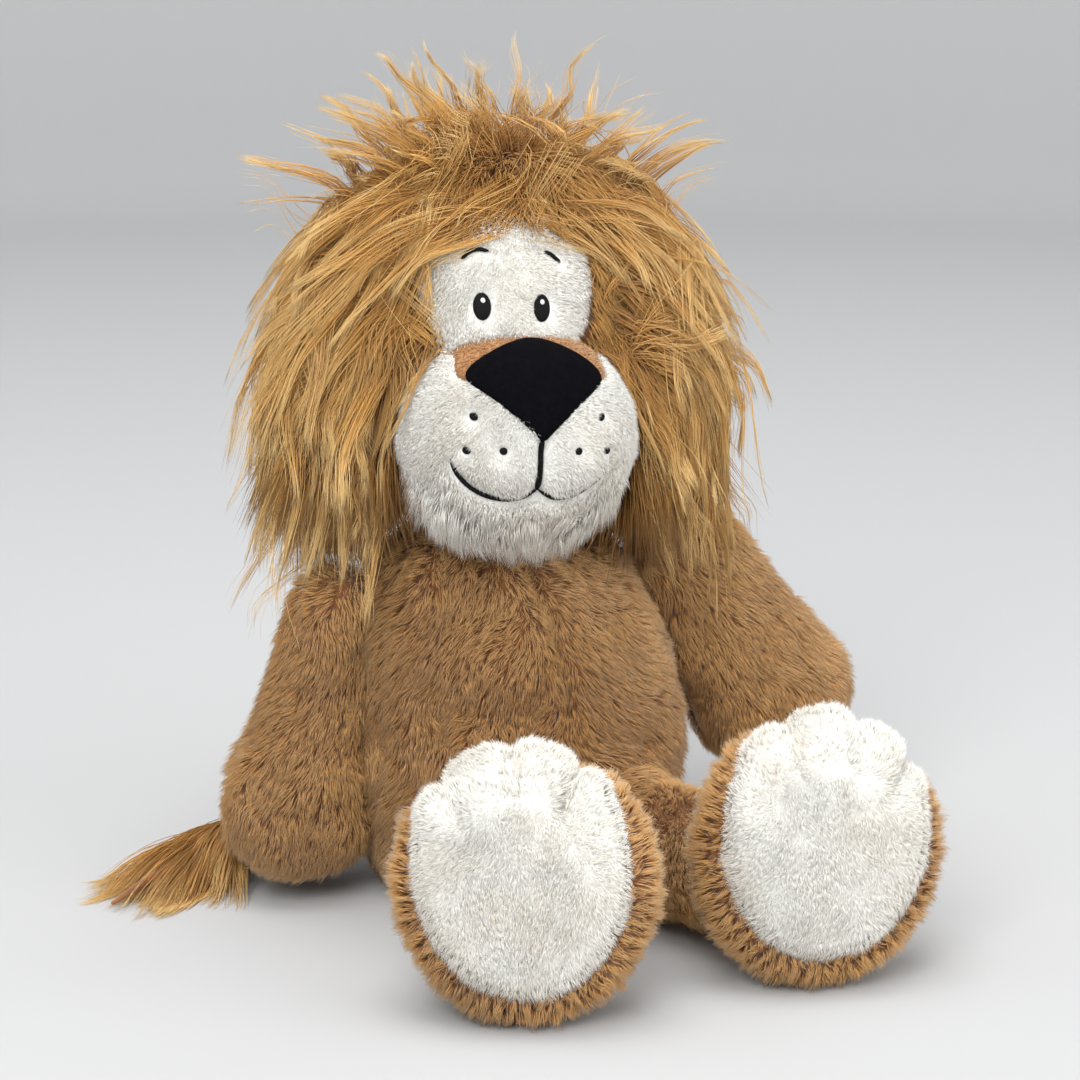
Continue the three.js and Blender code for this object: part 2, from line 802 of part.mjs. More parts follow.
function manePiece() {
  const { clearance, patchThickness, overrun } = cloth;
  const hollow = new THREE.CylinderGeometry(1, 1, 1, counts.headSides)
    .rotateX(quarterTurn)
    .scale(mane.hollowHalfWidth, mane.hollowHalfDepth, mane.hollowTop + overrun)
    .translate(0, mane.back, (mane.hollowTop - overrun) / 2);
  const cheeks = new THREE.Shape();
  cheeks.moveTo(-mane.cheekHalfWidth, -overrun);
  cheeks.lineTo(mane.cheekHalfWidth, -overrun);
  cheeks.lineTo(mane.cheekHalfWidth, mane.hollowTop);
  cheeks.lineTo(face.bottomHalfWidth, faceBottom + nose.cornerRound);
  cheeks.lineTo(-face.bottomHalfWidth, faceBottom + nose.cornerRound);
  cheeks.lineTo(-mane.cheekHalfWidth, mane.hollowTop);
  cheeks.closePath();
  const openings = wasm.Manifold.union([
    solid(grown(headSkin, 2 * clearance + patchThickness)),
    solid(grown(muzzleSkin, 2 * clearance + chin.thickness)),
    solid(welded(hollow)),
    frontPrism(faceShape(clearance), -head.forward, frontDepth),
    frontPrism(cheeks, -head.forward, frontDepth),
    neckRoom(),
  ]);
  const hair = wasm.Manifold.union([solid(maneForm()), ...crownLocks()]).subtract(openings);
  return piece('mane', hair, finishes.maneHair);
}

function headGroup() {
  const group = groupAt(
    ...neckPlace, 0, radians(head.tiltDegrees), radians(head.turnDegrees), 'ZYX',
  );
  group.add(
    ...stuffedHeadPieces(), ...facePatches(), ...eyePieces(), ...mouthPieces(), chinPiece(),
    manePiece(),
  );
  return group;
}

// Limbs and tail

function armPieces(side) {
  const { sign } = sides[side];
  const skin = armForm(sides[side], counts.armSides);
  const size = arm.length + cloth.overrun;
  const inner = solid(welded(new THREE.BoxGeometry(size, 2 * size, 2 * size)
    .translate(sign * (cloth.clearance - size) / 2, 0, 0)));
  const core = armForm(sides[side], counts.armSides / 2);
  const stuffing = solid(grown(core, -cloth.thickness - cloth.clearance));
  const opening = solid(welded(new THREE.CylinderGeometry(
    arm.openingRadius, arm.openingRadius, 2 * arm.rootCentre, counts.ballSides,
  ).rotateZ(quarterTurn).translate(0, 0, -arm.openingDrop)));
  const cover = layer(skin, -cloth.thickness, 0).subtract(inner).subtract(opening);
  const group = shoulderGroup[side];
  group.add(
    piece(`${side}_arm_cover`, cover, finishes.brownPlush),
    piece(`${side}_arm_filling`, stuffing.subtract(inner), finishes.stuffing),
  );
  return group;
}

function footPad(skin) {
  const { padHalfWidth, padHalfHeight, padRise, padBack, thickness } = foot;
  const outline = frontPrism(
    ovalShape(0, padRise, padHalfWidth, padHalfHeight), padBack, thickness + cloth.overrun,
    counts.padPoints,
  );
  return layer(skin, cloth.clearance, cloth.clearance + cloth.patchThickness).intersect(outline);
}

// The hole in the back of a foot where the leg's stuffing meets the foot's.
function ankleOpening(ankle) {
  const hole = new THREE.CylinderGeometry(
    leg.ankleRadius / 2, leg.ankleRadius / 2, leg.length, counts.fillingSides,
  ).translate(0, -leg.length / 2, 0);
  const back = frontPrism(
    ovalShape(0, 0, foot.halfWidth, foot.halfHeight), foot.thickness, foot.thickness,
  );
  return solid(welded(hole.applyMatrix4(ankle.matrix.clone().invert()))).intersect(back);
}

function legPieces(side) {
  const { thickness, clearance } = cloth;
  const skin = legForm(counts.ballSides);
  const ankle = footGroup[side];
  const footSkin = footForm(foot.toeSwell, counts.footSides);
  const footPlaced = footSkin.clone().applyMatrix4(ankle.matrix);
  const footRoom = solid(grown(footPlaced, clearance));
  const legCover = layer(skin, -thickness, 0).subtract(footRoom);
  const stuffing = solid(grown(legForm(counts.fillingSides), -thickness - clearance));
  const ankleHole = ankleOpening(ankle);
  const footShell = layer(footSkin, -thickness, 0).subtract(ankleHole);
  const footCore = footForm(0, counts.footSides / 2);
  ankle.add(
    piece(`${side}_foot_cover`, footShell, finishes.brownPlush),
    piece(`${side}_foot_filling`, solid(grown(footCore, -thickness - clearance)), finishes.stuffing),
    piece(`${side}_sole_pad`, footPad(footSkin), finishes.whitePlush),
  );
  const hip = hipGroup[side];
  hip.add(
    piece(`${side}_leg_cover`, legCover, finishes.brownPlush),
    piece(`${side}_leg_filling`, stuffing.subtract(footRoom), finishes.stuffing),
    ankle,
  );
  return hip;
}

function tailPieces() {
  const curve = tailCurve();
  const rod = (inset) => {
    const radius = tail.radius - inset;
    const form = turned([[1, 0], [1, 1]], counts.tailRings, counts.tailSides, true);
    const root = ball(tail.rootRadius - inset, counts.tailSides, counts.tailSides / 2);
    return solid(alongCurve(form.scale(radius, radius, 1), curve))
      .add(solid(root.translate(...tailRoot)));
  };
  const opening = new THREE.CylinderGeometry(
    tail.rootRadius / 2, tail.rootRadius / 2, tail.rootRadius, counts.tailSides,
  ).translate(0, -tail.rootRadius, 0).translate(...tailRoot);
  const end = curve.getPointAt(1);
  const [alongShare, forwardShare] = tuftBendShares;
  const tuftCurve = new THREE.CatmullRomCurve3([
    curve.getPointAt(1 - tail.tuftHalfHeight / curve.getLength()),
    new THREE.Vector3(
      end.x - tail.tuftLength * alongShare, end.y - tail.tuftForward * forwardShare, tail.tuftRise,
    ),
    new THREE.Vector3(end.x - tail.tuftLength, end.y - tail.tuftForward, tail.tuftTipRise),
  ]);
  const tuft = turned(tuftOutlineShares, counts.tuftRings, counts.tuftSides)
    .scale(tail.tuftHalfWidth, tail.tuftHalfHeight, 1);
  return [
    piece('tail_cover', rod(0).subtract(rod(cloth.thickness)).subtract(solid(welded(opening))),
      finishes.brownPlush),
    piece('tail_filling', rod(cloth.thickness + cloth.clearance), finishes.stuffing),
    piece('tail_tuft', solid(alongCurve(tuft, tuftCurve)).subtract(rod(-cloth.clearance)),
      finishes.maneHair),
  ];
}

const lion = new THREE.Group();
lion.add(...torsoPieces());
const neckGroup = groupAt(...neckPlace, 0, 0, 0);
neckGroup.add(...neckPieces());
lion.add(neckGroup, headGroup());
for (const side of Object.keys(sides)) lion.add(armPieces(side), legPieces(side));
lion.add(...tailPieces());

export default lion;
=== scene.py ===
"""A seated plush lion: stuffed plush forms, short pile, a long shaggy mane and a stitched face.

Everything is in metres, in the frame's own axes: +Z is up, the lion faces -Y and its right side
is at -X. Local sizes are written in millimetres and multiplied by MM.
"""

import json
import logging
import math
from collections.abc import Callable
from dataclasses import dataclass, field
from enum import Enum

import bpy
import numpy as np
from mathutils import Matrix, Vector
from mathutils.bvhtree import BVHTree
from mathutils.kdtree import KDTree


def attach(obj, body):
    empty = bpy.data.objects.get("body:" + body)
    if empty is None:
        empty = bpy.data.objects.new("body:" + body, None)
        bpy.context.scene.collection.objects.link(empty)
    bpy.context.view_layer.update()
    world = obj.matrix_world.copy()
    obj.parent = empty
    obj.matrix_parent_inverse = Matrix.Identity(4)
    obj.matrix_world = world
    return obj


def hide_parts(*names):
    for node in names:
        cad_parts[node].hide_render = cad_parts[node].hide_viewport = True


LOG = logging.getLogger("plush_lion")
MM = 0.001
TURN = 2 * math.pi
Array = np.ndarray
Item = bpy.types.Object
Socket = bpy.types.NodeSocket
Random = np.random.Generator
Rule = Callable[[Array, Array], Array]
Color = tuple[int, int, int]
Place = tuple[float, float, float]

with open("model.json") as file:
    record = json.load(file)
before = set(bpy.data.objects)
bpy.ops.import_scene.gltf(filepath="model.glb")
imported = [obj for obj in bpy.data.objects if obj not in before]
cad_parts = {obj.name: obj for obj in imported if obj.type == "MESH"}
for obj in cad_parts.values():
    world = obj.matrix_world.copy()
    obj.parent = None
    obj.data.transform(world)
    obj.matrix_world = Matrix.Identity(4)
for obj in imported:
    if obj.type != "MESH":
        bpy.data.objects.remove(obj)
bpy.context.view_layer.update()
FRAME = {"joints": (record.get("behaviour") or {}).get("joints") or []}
JOINT_PLACES = {joint["name"]: joint["pos_m"] for joint in FRAME["joints"]}
MOST_TRIANGLES = 198_000
CURVE_STEPS = 24
FACE_ASIDE = -6 * MM
COVER_THICKNESS = 2.4 * MM


class Side(Enum):
    """A side of the lion. Its value is the sign of X there."""

    RIGHT = -1
    LEFT = 1

    @property
    def word(self) -> str:
        """The side's name as it is written in the names of nodes and pieces."""
        return self.name.lower()


def unit(vectors: Array) -> Array:
    """Vectors scaled to length 1 along their last axis."""
    return vectors / np.maximum(np.linalg.norm(vectors, axis=-1, keepdims=True), 1e-12)


def smooth(values: Array, start: float, end: float) -> Array:
    """A smooth step from 0 at start to 1 at end."""
    share = np.clip((np.asarray(values, float) - start) / (end - start), 0, 1)
    return share * share * (3 - 2 * share)


def mix(first: Array, second: Array, share: Array) -> Array:
    """The blend of two values, from the first at share 0 to the second at share 1."""
    return first + (second - first) * share


def smooth_curve(knots: Array, closed: bool = False) -> Array:
    """The points of a smooth curve that runs through some knots.

    Args:
        knots: The knots, one row each.
        closed: Whether the curve runs on from the last knot to the first.

    Returns:
        The curve's points, one row each, with as many between each two knots.
    """
    if closed:
        padded = np.vstack([knots[-1:], knots, knots[:2]])
    else:
        padded = np.vstack([2 * knots[0] - knots[1], knots, 2 * knots[-1] - knots[-2]])
    share = np.linspace(0, 1, CURVE_STEPS, endpoint=False)[:, None]
    spans = []
    for before, start, end, after in zip(padded, padded[1:], padded[2:], padded[3:]):
        spans.append(0.5 * (
            2 * start + (end - before) * share
            + (2 * before - 5 * start + 4 * end - after) * share**2
            + (3 * start - before - 3 * end + after) * share**3
        ))
    return np.vstack([*spans, knots[:1] if closed else knots[-1:]])


def linear(red: int, green: int, blue: int) -> tuple[float, float, float, float]:
    """A display colour of 0 to 255 a channel as the linear colour that a shader takes."""
    channels = []
    for value in (red, green, blue):
        part = value / 255
        channels.append(part / 12.92 if part <= 0.04045 else ((part + 0.055) / 1.055) ** 2.4)
    return (*channels, 1.0)


class Noise:
    """A smooth random vector field that gives the same values on each run."""

    CELLS = 24

    def __init__(self, seed: int) -> None:
        """Draws the field's lattice from a seed."""
        shape = (self.CELLS, self.CELLS, self.CELLS, 3)
        self._lattice = np.random.default_rng(seed).uniform(-1, 1, shape)

    def at(self, points: Array, wavelength: float) -> Array:
        """The field at some points.

        Args:
            points: Places as an array whose last axis is x, y, z.
            wavelength: The distance over which the field changes.

        Returns:
            One vector for each point, each channel from -1 to 1.
        """
        scaled = np.asarray(points) / wavelength
        low = np.floor(scaled).astype(int)
        part = scaled - low
        part = part * part * (3 - 2 * part)
        total = np.zeros(scaled.shape)
        for corner in np.ndindex(2, 2, 2):
            step = np.array(corner)
            weight = np.prod(np.where(step, part, 1 - part), axis=-1, keepdims=True)
            cell = (low + step) % self.CELLS
            total += weight * self._lattice[cell[..., 0], cell[..., 1], cell[..., 2]]
        return total


# Meshes


def linked(name: str, data: bpy.types.ID) -> Item:
    """Makes an object of its data and links it to the scene."""
    item = bpy.data.objects.new(name, data)
    bpy.context.scene.collection.objects.link(item)
    return item


def triples(rows: bpy.types.bpy_prop_collection, key: str, kind: type) -> Array:
    """The three numbers that each row of a mesh holds under a key."""
    values = np.zeros(len(rows) * 3, kind)
    rows.foreach_get(key, values)
    return values.reshape(-1, 3)


def build_mesh(name: str, points: Array, faces: Array) -> Item:
    """Makes a smooth-shaded object of faces that all have as many corners.

    Args:
        name: The object's name.
        points: The vertices, one row each.
        faces: The vertex numbers of each face, one row each.

    Returns:
        The object, linked to the scene.
    """
    mesh = bpy.data.meshes.new(name)
    count, corners = faces.shape
    mesh.vertices.add(len(points))
    mesh.vertices.foreach_set("co", np.ascontiguousarray(points, np.float32).ravel())
    mesh.loops.add(count * corners)
    mesh.loops.foreach_set("vertex_index", np.ascontiguousarray(faces, np.int32).ravel())
    mesh.polygons.add(count)
    mesh.polygons.foreach_set("loop_start", np.arange(0, count * corners, corners, np.int32))
    mesh.update(calc_edges=True)
    mesh.polygons.foreach_set("use_smooth", np.ones(count, bool))
    return linked(name, mesh)


def ring_faces(first: int, sides: int) -> Array:
    """The faces between the ring whose points start at a number and the next ring."""
    low = first + np.arange(sides)
    after = first + (np.arange(sides) + 1) % sides
    return np.stack([low, after, after + sides, low + sides], 1)


def grid_mesh(name: str, rings: Array) -> Item:
    """Makes a closed form of rings that starts and ends in a single point.

    Args:
        name: The object's name.
        rings: Points as rings, sides, xyz. The first and last ring are each one place.

    Returns:
        The object, with its faces pointing out.
    """
    levels, sides, _ = rings.shape
    inner = rings[1:-1].reshape(-1, 3)
    points = np.vstack([rings[:1, 0], inner, rings[-1:, 0]])
    faces = []
    for level in range(levels - 3):
        faces += ring_faces(1 + level * sides, sides).tolist()
    end = len(points) - 1
    last = end - sides
    faces += [[0, 1 + (i + 1) % sides, 1 + i] for i in range(sides)]
    faces += [[end, last + i, last + (i + 1) % sides] for i in range(sides)]
    mesh = bpy.data.meshes.new(name)
    mesh.from_pydata(points.tolist(), [], faces)
    mesh.polygons.foreach_set("use_smooth", np.ones(len(faces), bool))
    mesh.update()
    return linked(name, mesh)


def grid_normals(rings: Array) -> Array:
    """The outward directions at the points of a grid of rings.

    Args:
        rings: Points as rings, sides, xyz.

    Returns:
        The directions, shaped like the rings. A ring of one place takes its neighbour's mean.
    """
    along = np.gradient(rings, axis=0)
    around = (np.roll(rings, -1, axis=1) - np.roll(rings, 1, axis=1)) / 2
    normals = np.cross(around, along)
    weak = np.linalg.norm(normals, axis=-1) < 1e-14
    normals = unit(normals)
    for row, near in ((0, 1), (-1, -2)):
        if weak[row].any():
            normals[row] = unit(normals[near].mean(0))
    return normals


@dataclass
class Skin:
    """A surface to sow pile on: its triangles with the direction out at each corner."""

    corners: Array
    normals: Array

    @classmethod
    def of(cls, *items: Item) -> "Skin":
        """Reads the triangles of some objects' meshes."""
        corners, normals = [], []
        for item in items:
            mesh = item.data
            mesh.calc_loop_triangles()
            triangles = triples(mesh.loop_triangles, "vertices", np.int32)
            points = triples(mesh.vertices, "co", np.float32)
            out = triples(mesh.vertices, "normal", np.float32)
            corners.append(points[triangles].astype(float))
            normals.append(out[triangles].astype(float))
        return cls(np.concatenate(corners), np.concatenate(normals))

    def areas(self) -> Array:
        """The area of each triangle."""
        first, second, third = (self.corners[:, i] for i in range(3))
        return np.linalg.norm(np.cross(second - first, third - first), axis=1) / 2

    def scatter(self, density: float, rng: Random) -> tuple[Array, Array]:
        """Draws random places all over the surface.

        Args:
            density: Places for each square metre.
            rng: The source of random numbers.

        Returns:
            The places and the directions out of the surface there.
        """
        areas = self.areas()
        count = int(areas.sum() * density)
        chosen = rng.choice(len(areas), count, p=areas / areas.sum())
        spread = np.sqrt(rng.random(count))
        turn = rng.random(count)
        weights = np.stack([1 - spread, spread * (1 - turn), spread * turn], 1)[..., None]
        places = (self.corners[chosen] * weights).sum(1)
        normals = (self.normals[chosen] * weights).sum(1)
        return places, unit(normals)


# Stuffed forms


class Outline:
    """A smooth outline through a few points, given as radius and height."""

    def __init__(self, knots: list[tuple[float, float]]) -> None:
        """Runs a smooth curve through knots that are given from the lowest height up."""
        line = smooth_curve(np.array(knots, float))
        self.radii = np.maximum(line[:, 0], 0)
        self.heights = np.maximum.accumulate(line[:, 1])

    def along(self, shares: Array, width: float, height: float) -> tuple[Array, Array]:
        """The outline's radius and height at shares of its real length.

        Args:
            shares: Places along the outline from 0 to 1.
            width: The size that a radius of 1 stands for.
            height: The size that a height of 1 stands for.

        Returns:
            The radii and the heights, still as shares.
        """
        steps = np.hypot(np.diff(self.radii) * width, np.diff(self.heights) * height)
        run = np.concatenate([[0], np.cumsum(steps)])
        run /= run[-1]
        return np.interp(shares, run, self.radii), np.interp(shares, run, self.heights)

    def radius_at(self, heights: Array) -> Array:
        """The outline's radius at some heights, and 0 above and below it."""
        radii = np.interp(heights, self.heights, self.radii)
        return np.where((heights < self.heights[0]) | (heights > self.heights[-1]), 0, radii)


@dataclass
class SoftForm:
    """A stuffed form that is turned from an outline, then bent and sculpted."""

    outline: Outline
    half_width: float
    half_depth: float
    height: float
    base: float = 0.0
    place: Matrix = field(default_factory=Matrix)
    nap: float = 0.0
    aside: float = 0.0
    back: float = 0.0

    @property
    def mean_half(self) -> float:
        """The mean of the form's half width and half depth."""
        return (self.half_width + self.half_depth) / 2

    def along(self, shares: Array) -> tuple[Array, Array]:
        """The outline's radius and height at shares of its length on this form."""
        return self.outline.along(shares, self.mean_half, self.height)

    def middle(self, heights: Array) -> tuple[Array, Array]:
        """How far the form's middle lies aside and back at heights given as shares."""
        return np.full(np.shape(heights), self.aside), np.full(np.shape(heights), self.back)

    def widths(self, heights: Array) -> Array:
        """The factor on the form's half width at heights given as shares."""
        return np.ones(np.shape(heights))

    def sculpt(self, points: Array, normals: Array, angles: Array) -> Array:
        """Gives a form's points their folds. A plain form has none."""
        return points

    def sunk(self, points: Array) -> Array:
        """Lowers what hangs, on the skin and inside it alike. A plain form keeps its points."""
        return points

    def local_rings(self, levels: int, sides: int) -> tuple[Array, Array]:
        """The form's points in its own axes.

        Args:
            levels: How many rings, with the one point at each end counted.
            sides: How many points a ring has.

        Returns:
            The points as rings, sides, xyz, and the angle of each point around the form.
        """
        radii, heights = self.along(np.linspace(0, 1, levels))
        radii[0] = 0
        radii[-1] = 0
        angles = np.arange(sides) * TURN / sides
        aside, back = self.middle(heights)
        wide = radii * self.half_width * self.widths(heights)
        x = aside[:, None] + wide[:, None] * np.cos(angles)
        y = back[:, None] + (radii * self.half_depth)[:, None] * np.sin(angles)
        z = np.repeat((self.base + heights * self.height)[:, None], sides, 1)
        return np.stack([x, y, z], -1), np.broadcast_to(angles, (levels, sides))

    def rings(self, levels: int, sides: int, inset: float | None = None) -> Array:
        """The form's points in the frame's axes.

        Args:
            levels: How many rings.
            sides: How many points a ring has.
            inset: How far inside the skin a plain form lies. Without it the skin is sculpted.

        Returns:
            The points as rings, sides, xyz, the pile's room taken off the form.
        """
        points, angles = self.local_rings(levels, sides)
        normals = grid_normals(points)
        if inset is None:
            points = self.sculpt(points - normals * self.nap, normals, angles)
        else:
            points = self.sunk(points - normals * (self.nap + inset))
        return placed(points, self.place)

    def inside(self, points: Array, margin: float = 0.0) -> Array:
        """Whether points of the frame's axes lie inside the form, grown by a margin."""
        return self.depth(points) > -margin

    def depth(self, points: Array) -> Array:
        """About how deep points of the frame's axes lie inside the form. Outside is negative."""
        local = placed(points, self.place.inverted())
        heights = (local[..., 2] - self.base) / self.height
        aside, back = self.middle(heights)
        across = (local[..., 0] - aside) / (self.half_width * self.widths(heights))
        reach = np.hypot(across, (local[..., 1] - back) / self.half_depth)
        radii = self.outline.radius_at(heights)
        over = np.maximum(heights - self.outline.heights[-1], self.outline.heights[0] - heights)
        sideways = (radii - reach) * self.mean_half
        return np.where(over > 0, -over * self.height, sideways)


def placed(points: Array, matrix: Matrix) -> Array:
    """Points moved by a matrix."""
    table = np.array(matrix)
    return points @ table[:3, :3].T + table[:3, 3]


def spun(axis: str, degrees: float) -> Matrix:
    """A turn about one axis."""
    return Matrix.Rotation(math.radians(degrees), 4, axis)


HEAD_PLACE = Matrix.Translation(JOINT_PLACES["head_turn"]) @ spun("Z", -6) @ spun("Y", 3)
INTO_HEAD = HEAD_PLACE.inverted()

# How far a limb's or the body's pile goes on inside its neighbour, where a swing bares it.
SEAM_REACH = 16 * MM


@dataclass
class TorsoForm(SoftForm):
    """The body: wide at the belly, narrow at the neck, and leaning a little to its right."""

    outline: Outline = Outline([
        (0, 0), (0.5, 0), (0.74, 0.01), (0.88, 0.075), (0.975, 0.19), (1, 0.38), (0.985, 0.57),
        (0.94, 0.73), (0.82, 0.84), (0.62, 0.93), (0.38, 0.985), (0, 1),
    ])
    half_width: float = 70 * MM
    half_depth: float = 55 * MM
    height: float = 157 * MM
    lean_aside: float = -11 * MM
    lean_back: float = 6 * MM
    belly_aside: float = 5 * MM
    nap: float = 2 * MM
    fold: float = 2.6 * MM
    crease: float = 1.0 * MM
    seam_depth: float = 3.4 * MM
    seam_width: float = 3.2 * MM
    pleats: int = 17
    pleat_depth: float = 1.3 * MM

    def middle(self, heights: Array) -> tuple[Array, Array]:
        """How far the body's middle lies aside and back."""
        rise = np.clip(heights, 0, 1)
        aside = self.lean_aside * rise**2 + self.belly_aside * np.sin(math.pi * rise)
        return aside, self.lean_back * rise**2

    def seam_aside(self, heights: Array) -> Array:
        """How far aside the belly seam lies at heights given as shares."""
        rise = np.clip(heights, 0, 1)
        return (8 - 14 * smooth(rise, 0.45, 0.95)) * MM

    def sculpt(self, points: Array, normals: Array, angles: Array) -> Array:
        """Gives the body soft folds, a belly seam and pleats at the neck."""
        noise = Noise(11)
        heights = points[..., 2] / self.height
        fold = noise.at(points, 34 * MM)[..., 0] * self.fold * smooth(heights, 0.02, 0.2)
        fold += noise.at(points, 13 * MM)[..., 1] * self.crease
        front = smooth(-normals[..., 1], 0.3, 0.8)
        away = (points[..., 0] - self.seam_aside(heights)) / self.seam_width
        seam = self.seam_depth * np.exp(-away**2) * front * smooth(heights, 0.1, 0.3)
        pleats = self.pleat_depth * np.sin(self.pleats * angles) * smooth(heights, 0.72, 0.95)
        moved = points + normals * (fold - seam + pleats)[..., None]
        moved[..., 2] -= self.nap * (1 - smooth(heights, 0.02, 0.14))
        moved[..., 2] = np.maximum(moved[..., 2], 0.3 * MM)
        return moved


@dataclass
class HeadForm(SoftForm):
    """The head under the mane and the face panel."""

    outline: Outline = Outline([
        (0, 0), (0.4, 0.035), (0.7, 0.13), (0.92, 0.31), (1, 0.5), (0.95, 0.69), (0.77, 0.86),
        (0.45, 0.97), (0, 1),
    ])
    half_width: float = 54 * MM
    half_depth: float = 51 * MM
    height: float = 134 * MM
    base: float = 3 * MM
    back: float = -4 * MM


@dataclass
class HoodForm(SoftForm):
    """The base of the mane: a hood over the head, from which the face comes out."""

    outline: Outline = Outline([
        (0, 0), (0.8, 0.01), (1, 0.13), (0.99, 0.3), (0.95, 0.5), (0.86, 0.68), (0.69, 0.83),
        (0.42, 0.95), (0, 1),
    ])
    half_width: float = 76 * MM
    half_depth: float = 54 * MM
    height: float = 131 * MM
    base: float = 24 * MM
    aside: float = 3 * MM
    back: float = 9 * MM


@dataclass
class MuzzleForm(SoftForm):
    """The white muzzle: a round ball with full cheeks and a crease down from the nose."""

    outline: Outline = Outline([
        (0, 0), (0.45, 0.05), (0.78, 0.18), (0.96, 0.36), (1, 0.5), (0.93, 0.69), (0.72, 0.87),
        (0.4, 0.975), (0, 1),
    ])
    half_width: float = 48 * MM
    half_depth: float = 44 * MM
    height: float = 85 * MM
    base: float = 3.5 * MM
    back: float = -45 * MM
    nap: float = 1.8 * MM
    cheek: float = 1.6 * MM
    cleft: float = 2.6 * MM
    cleft_width: float = 3.2 * MM
    chin_tuck: float = 2.2 * MM
    smile_low: float = 27 * MM
    smile_corner: float = 42 * MM
    smile_half_width: float = 33 * MM

    def smile_height(self, across: Array) -> Array:
        """The height of the mouth line at a distance from its middle."""
        share = np.clip(np.abs(across) / self.smile_half_width, 0, 1)
        dip = self.smile_low + (self.smile_corner - self.smile_low) * share**2.4
        return dip + 4 * MM * (1 - smooth(share, 0, 0.3))

    def sculpt(self, points: Array, normals: Array, angles: Array) -> Array:
        """Gives the muzzle its cheeks, the cleft under the nose and the chin's tuck."""
        noise = Noise(23)
        x, z = points[..., 0], points[..., 2]
        front = smooth(-normals[..., 1], 0.1, 0.7)
        below_nose = smooth(z, 54 * MM, 46 * MM) * smooth(z, 24 * MM, 32 * MM)
        cleft = self.cleft * np.exp(-(x / self.cleft_width) ** 2) * below_nose * front
        cheek = self.cheek * np.exp(-((np.abs(x) - 21 * MM) / (13 * MM)) ** 2)
        cheek *= np.exp(-((z - 42 * MM) / (16 * MM)) ** 2) * front
        under = (z - self.smile_height(x) + 2 * MM) / (3.4 * MM)
        tuck = self.chin_tuck * np.exp(-under**2) * front
        tuck *= 1 - smooth(np.abs(x), 33 * MM, 38 * MM)
        fold = noise.at(points, 22 * MM)[..., 0] * 0.7 * MM
        return points + normals * (cheek - cleft - tuck + fold)[..., None]


@dataclass
class ArmForm(SoftForm):
    """An arm: narrow at the shoulder and full at the paw, flat where it lies on the body."""

    outline: Outline = Outline([
        (0, 0), (0.5, 0.02), (0.84, 0.075), (1, 0.17), (0.96, 0.28), (0.82, 0.42), (0.7, 0.58),
        (0.63, 0.74), (0.58, 0.87), (0.42, 0.965), (0, 1),
    ])
    half_width: float = 31 * MM
    half_depth: float = 28 * MM
    height: float = 134 * MM
    base: float = -130 * MM
    side: Side = Side.RIGHT
    root_centre: float = 18 * MM
    sleeve_share: float = 1.0
    hand_centre: float = 30.5 * MM
    elbow_top: float = 15 * MM
    elbow_bottom: float = 100 * MM
    nap: float = 2 * MM
    fold: float = 1.6 * MM
    inner_swell: float = 0.0
    shoulder_drop: float = 5.5 * MM

    def _to_hand(self, heights: Array) -> Array:
        """How far a height is on the way from the sleeve to the paw."""
        below = -(self.base + heights * self.height)
        return smooth(below, self.elbow_top, self.elbow_bottom)

    def middle(self, heights: Array) -> tuple[Array, Array]:
        """The arm's middle lies further out towards the paw."""
        share = self._to_hand(heights)
        aside = mix(self.sleeve_share * self.root_centre, self.hand_centre, share)
        return self.side.value * aside, np.zeros(np.shape(heights))

    def widths(self, heights: Array) -> Array:
        """The factor on the sleeve's width."""
        return mix(self.sleeve_share, 1.0, self._to_hand(heights))

    def sunk(self, points: Array) -> Array:
        """Lets the outer side of the shoulder hang lower."""
        moved = points.copy()
        out = smooth(self.side.value * points[..., 0], 6 * MM, 36 * MM)
        out *= smooth(points[..., 2] / self.base, 0.24, 0.02)
        moved[..., 2] -= self.shoulder_drop * out
        return moved

    def sculpt(self, points: Array, normals: Array, angles: Array) -> Array:
        """Gives the arm soft folds and its flat inner side."""
        noise = Noise(31 + self.side.value)
        fold = noise.at(points, 30 * MM)[..., 0] * self.fold
        fold += noise.at(points, 12 * MM)[..., 1] * self.fold * 0.35
        moved = points + normals * fold[..., None]
        sign = self.side.value
        below = points[..., 2] / self.base
        swell = self.inner_swell * smooth(below, 0.15, 0.5) * smooth(below, 1.0, 0.75)
        inner = 0.3 * MM - swell * np.cos(normals[..., 1] * math.pi / 2)
        moved = self.sunk(moved)
        facing = smooth(-sign * normals[..., 0], 0.0, 0.8)
        moved[..., 0] -= sign * swell * facing
        moved[..., 0] = sign * np.maximum(sign * moved[..., 0], inner)
        return moved


@dataclass
class LegForm(SoftForm):
    """A leg that lies forward from its round hip. Its own Z runs along it, to the foot."""

    outline: Outline = field(default_factory=lambda: Outline(LegForm.knots()))
    half_width: float = MM
    half_depth: float = MM
    height: float = MM
    nap: float = 3.5 * MM

    @staticmethod
    def knots() -> list[tuple[float, float]]:
        """The leg's outline: a round hip, a slight waist and the ankle."""
        radius = 28.0
        reach = math.radians(116)
        round_hip = [
            (radius * math.sin(reach * i / 5), -radius * math.cos(reach * i / 5))
            for i in range(6)
        ]
        return [*round_hip, (25, 86 / 3), (27, 86 * 2 / 3), (26, 80), (20, 86), (0, 87)]

    def sculpt(self, points: Array, normals: Array, angles: Array) -> Array:
        """Gives the leg soft folds."""
        fold = Noise(41).at(points, 26 * MM)[..., 0] * 1.2 * MM
        return points + normals * fold[..., None]


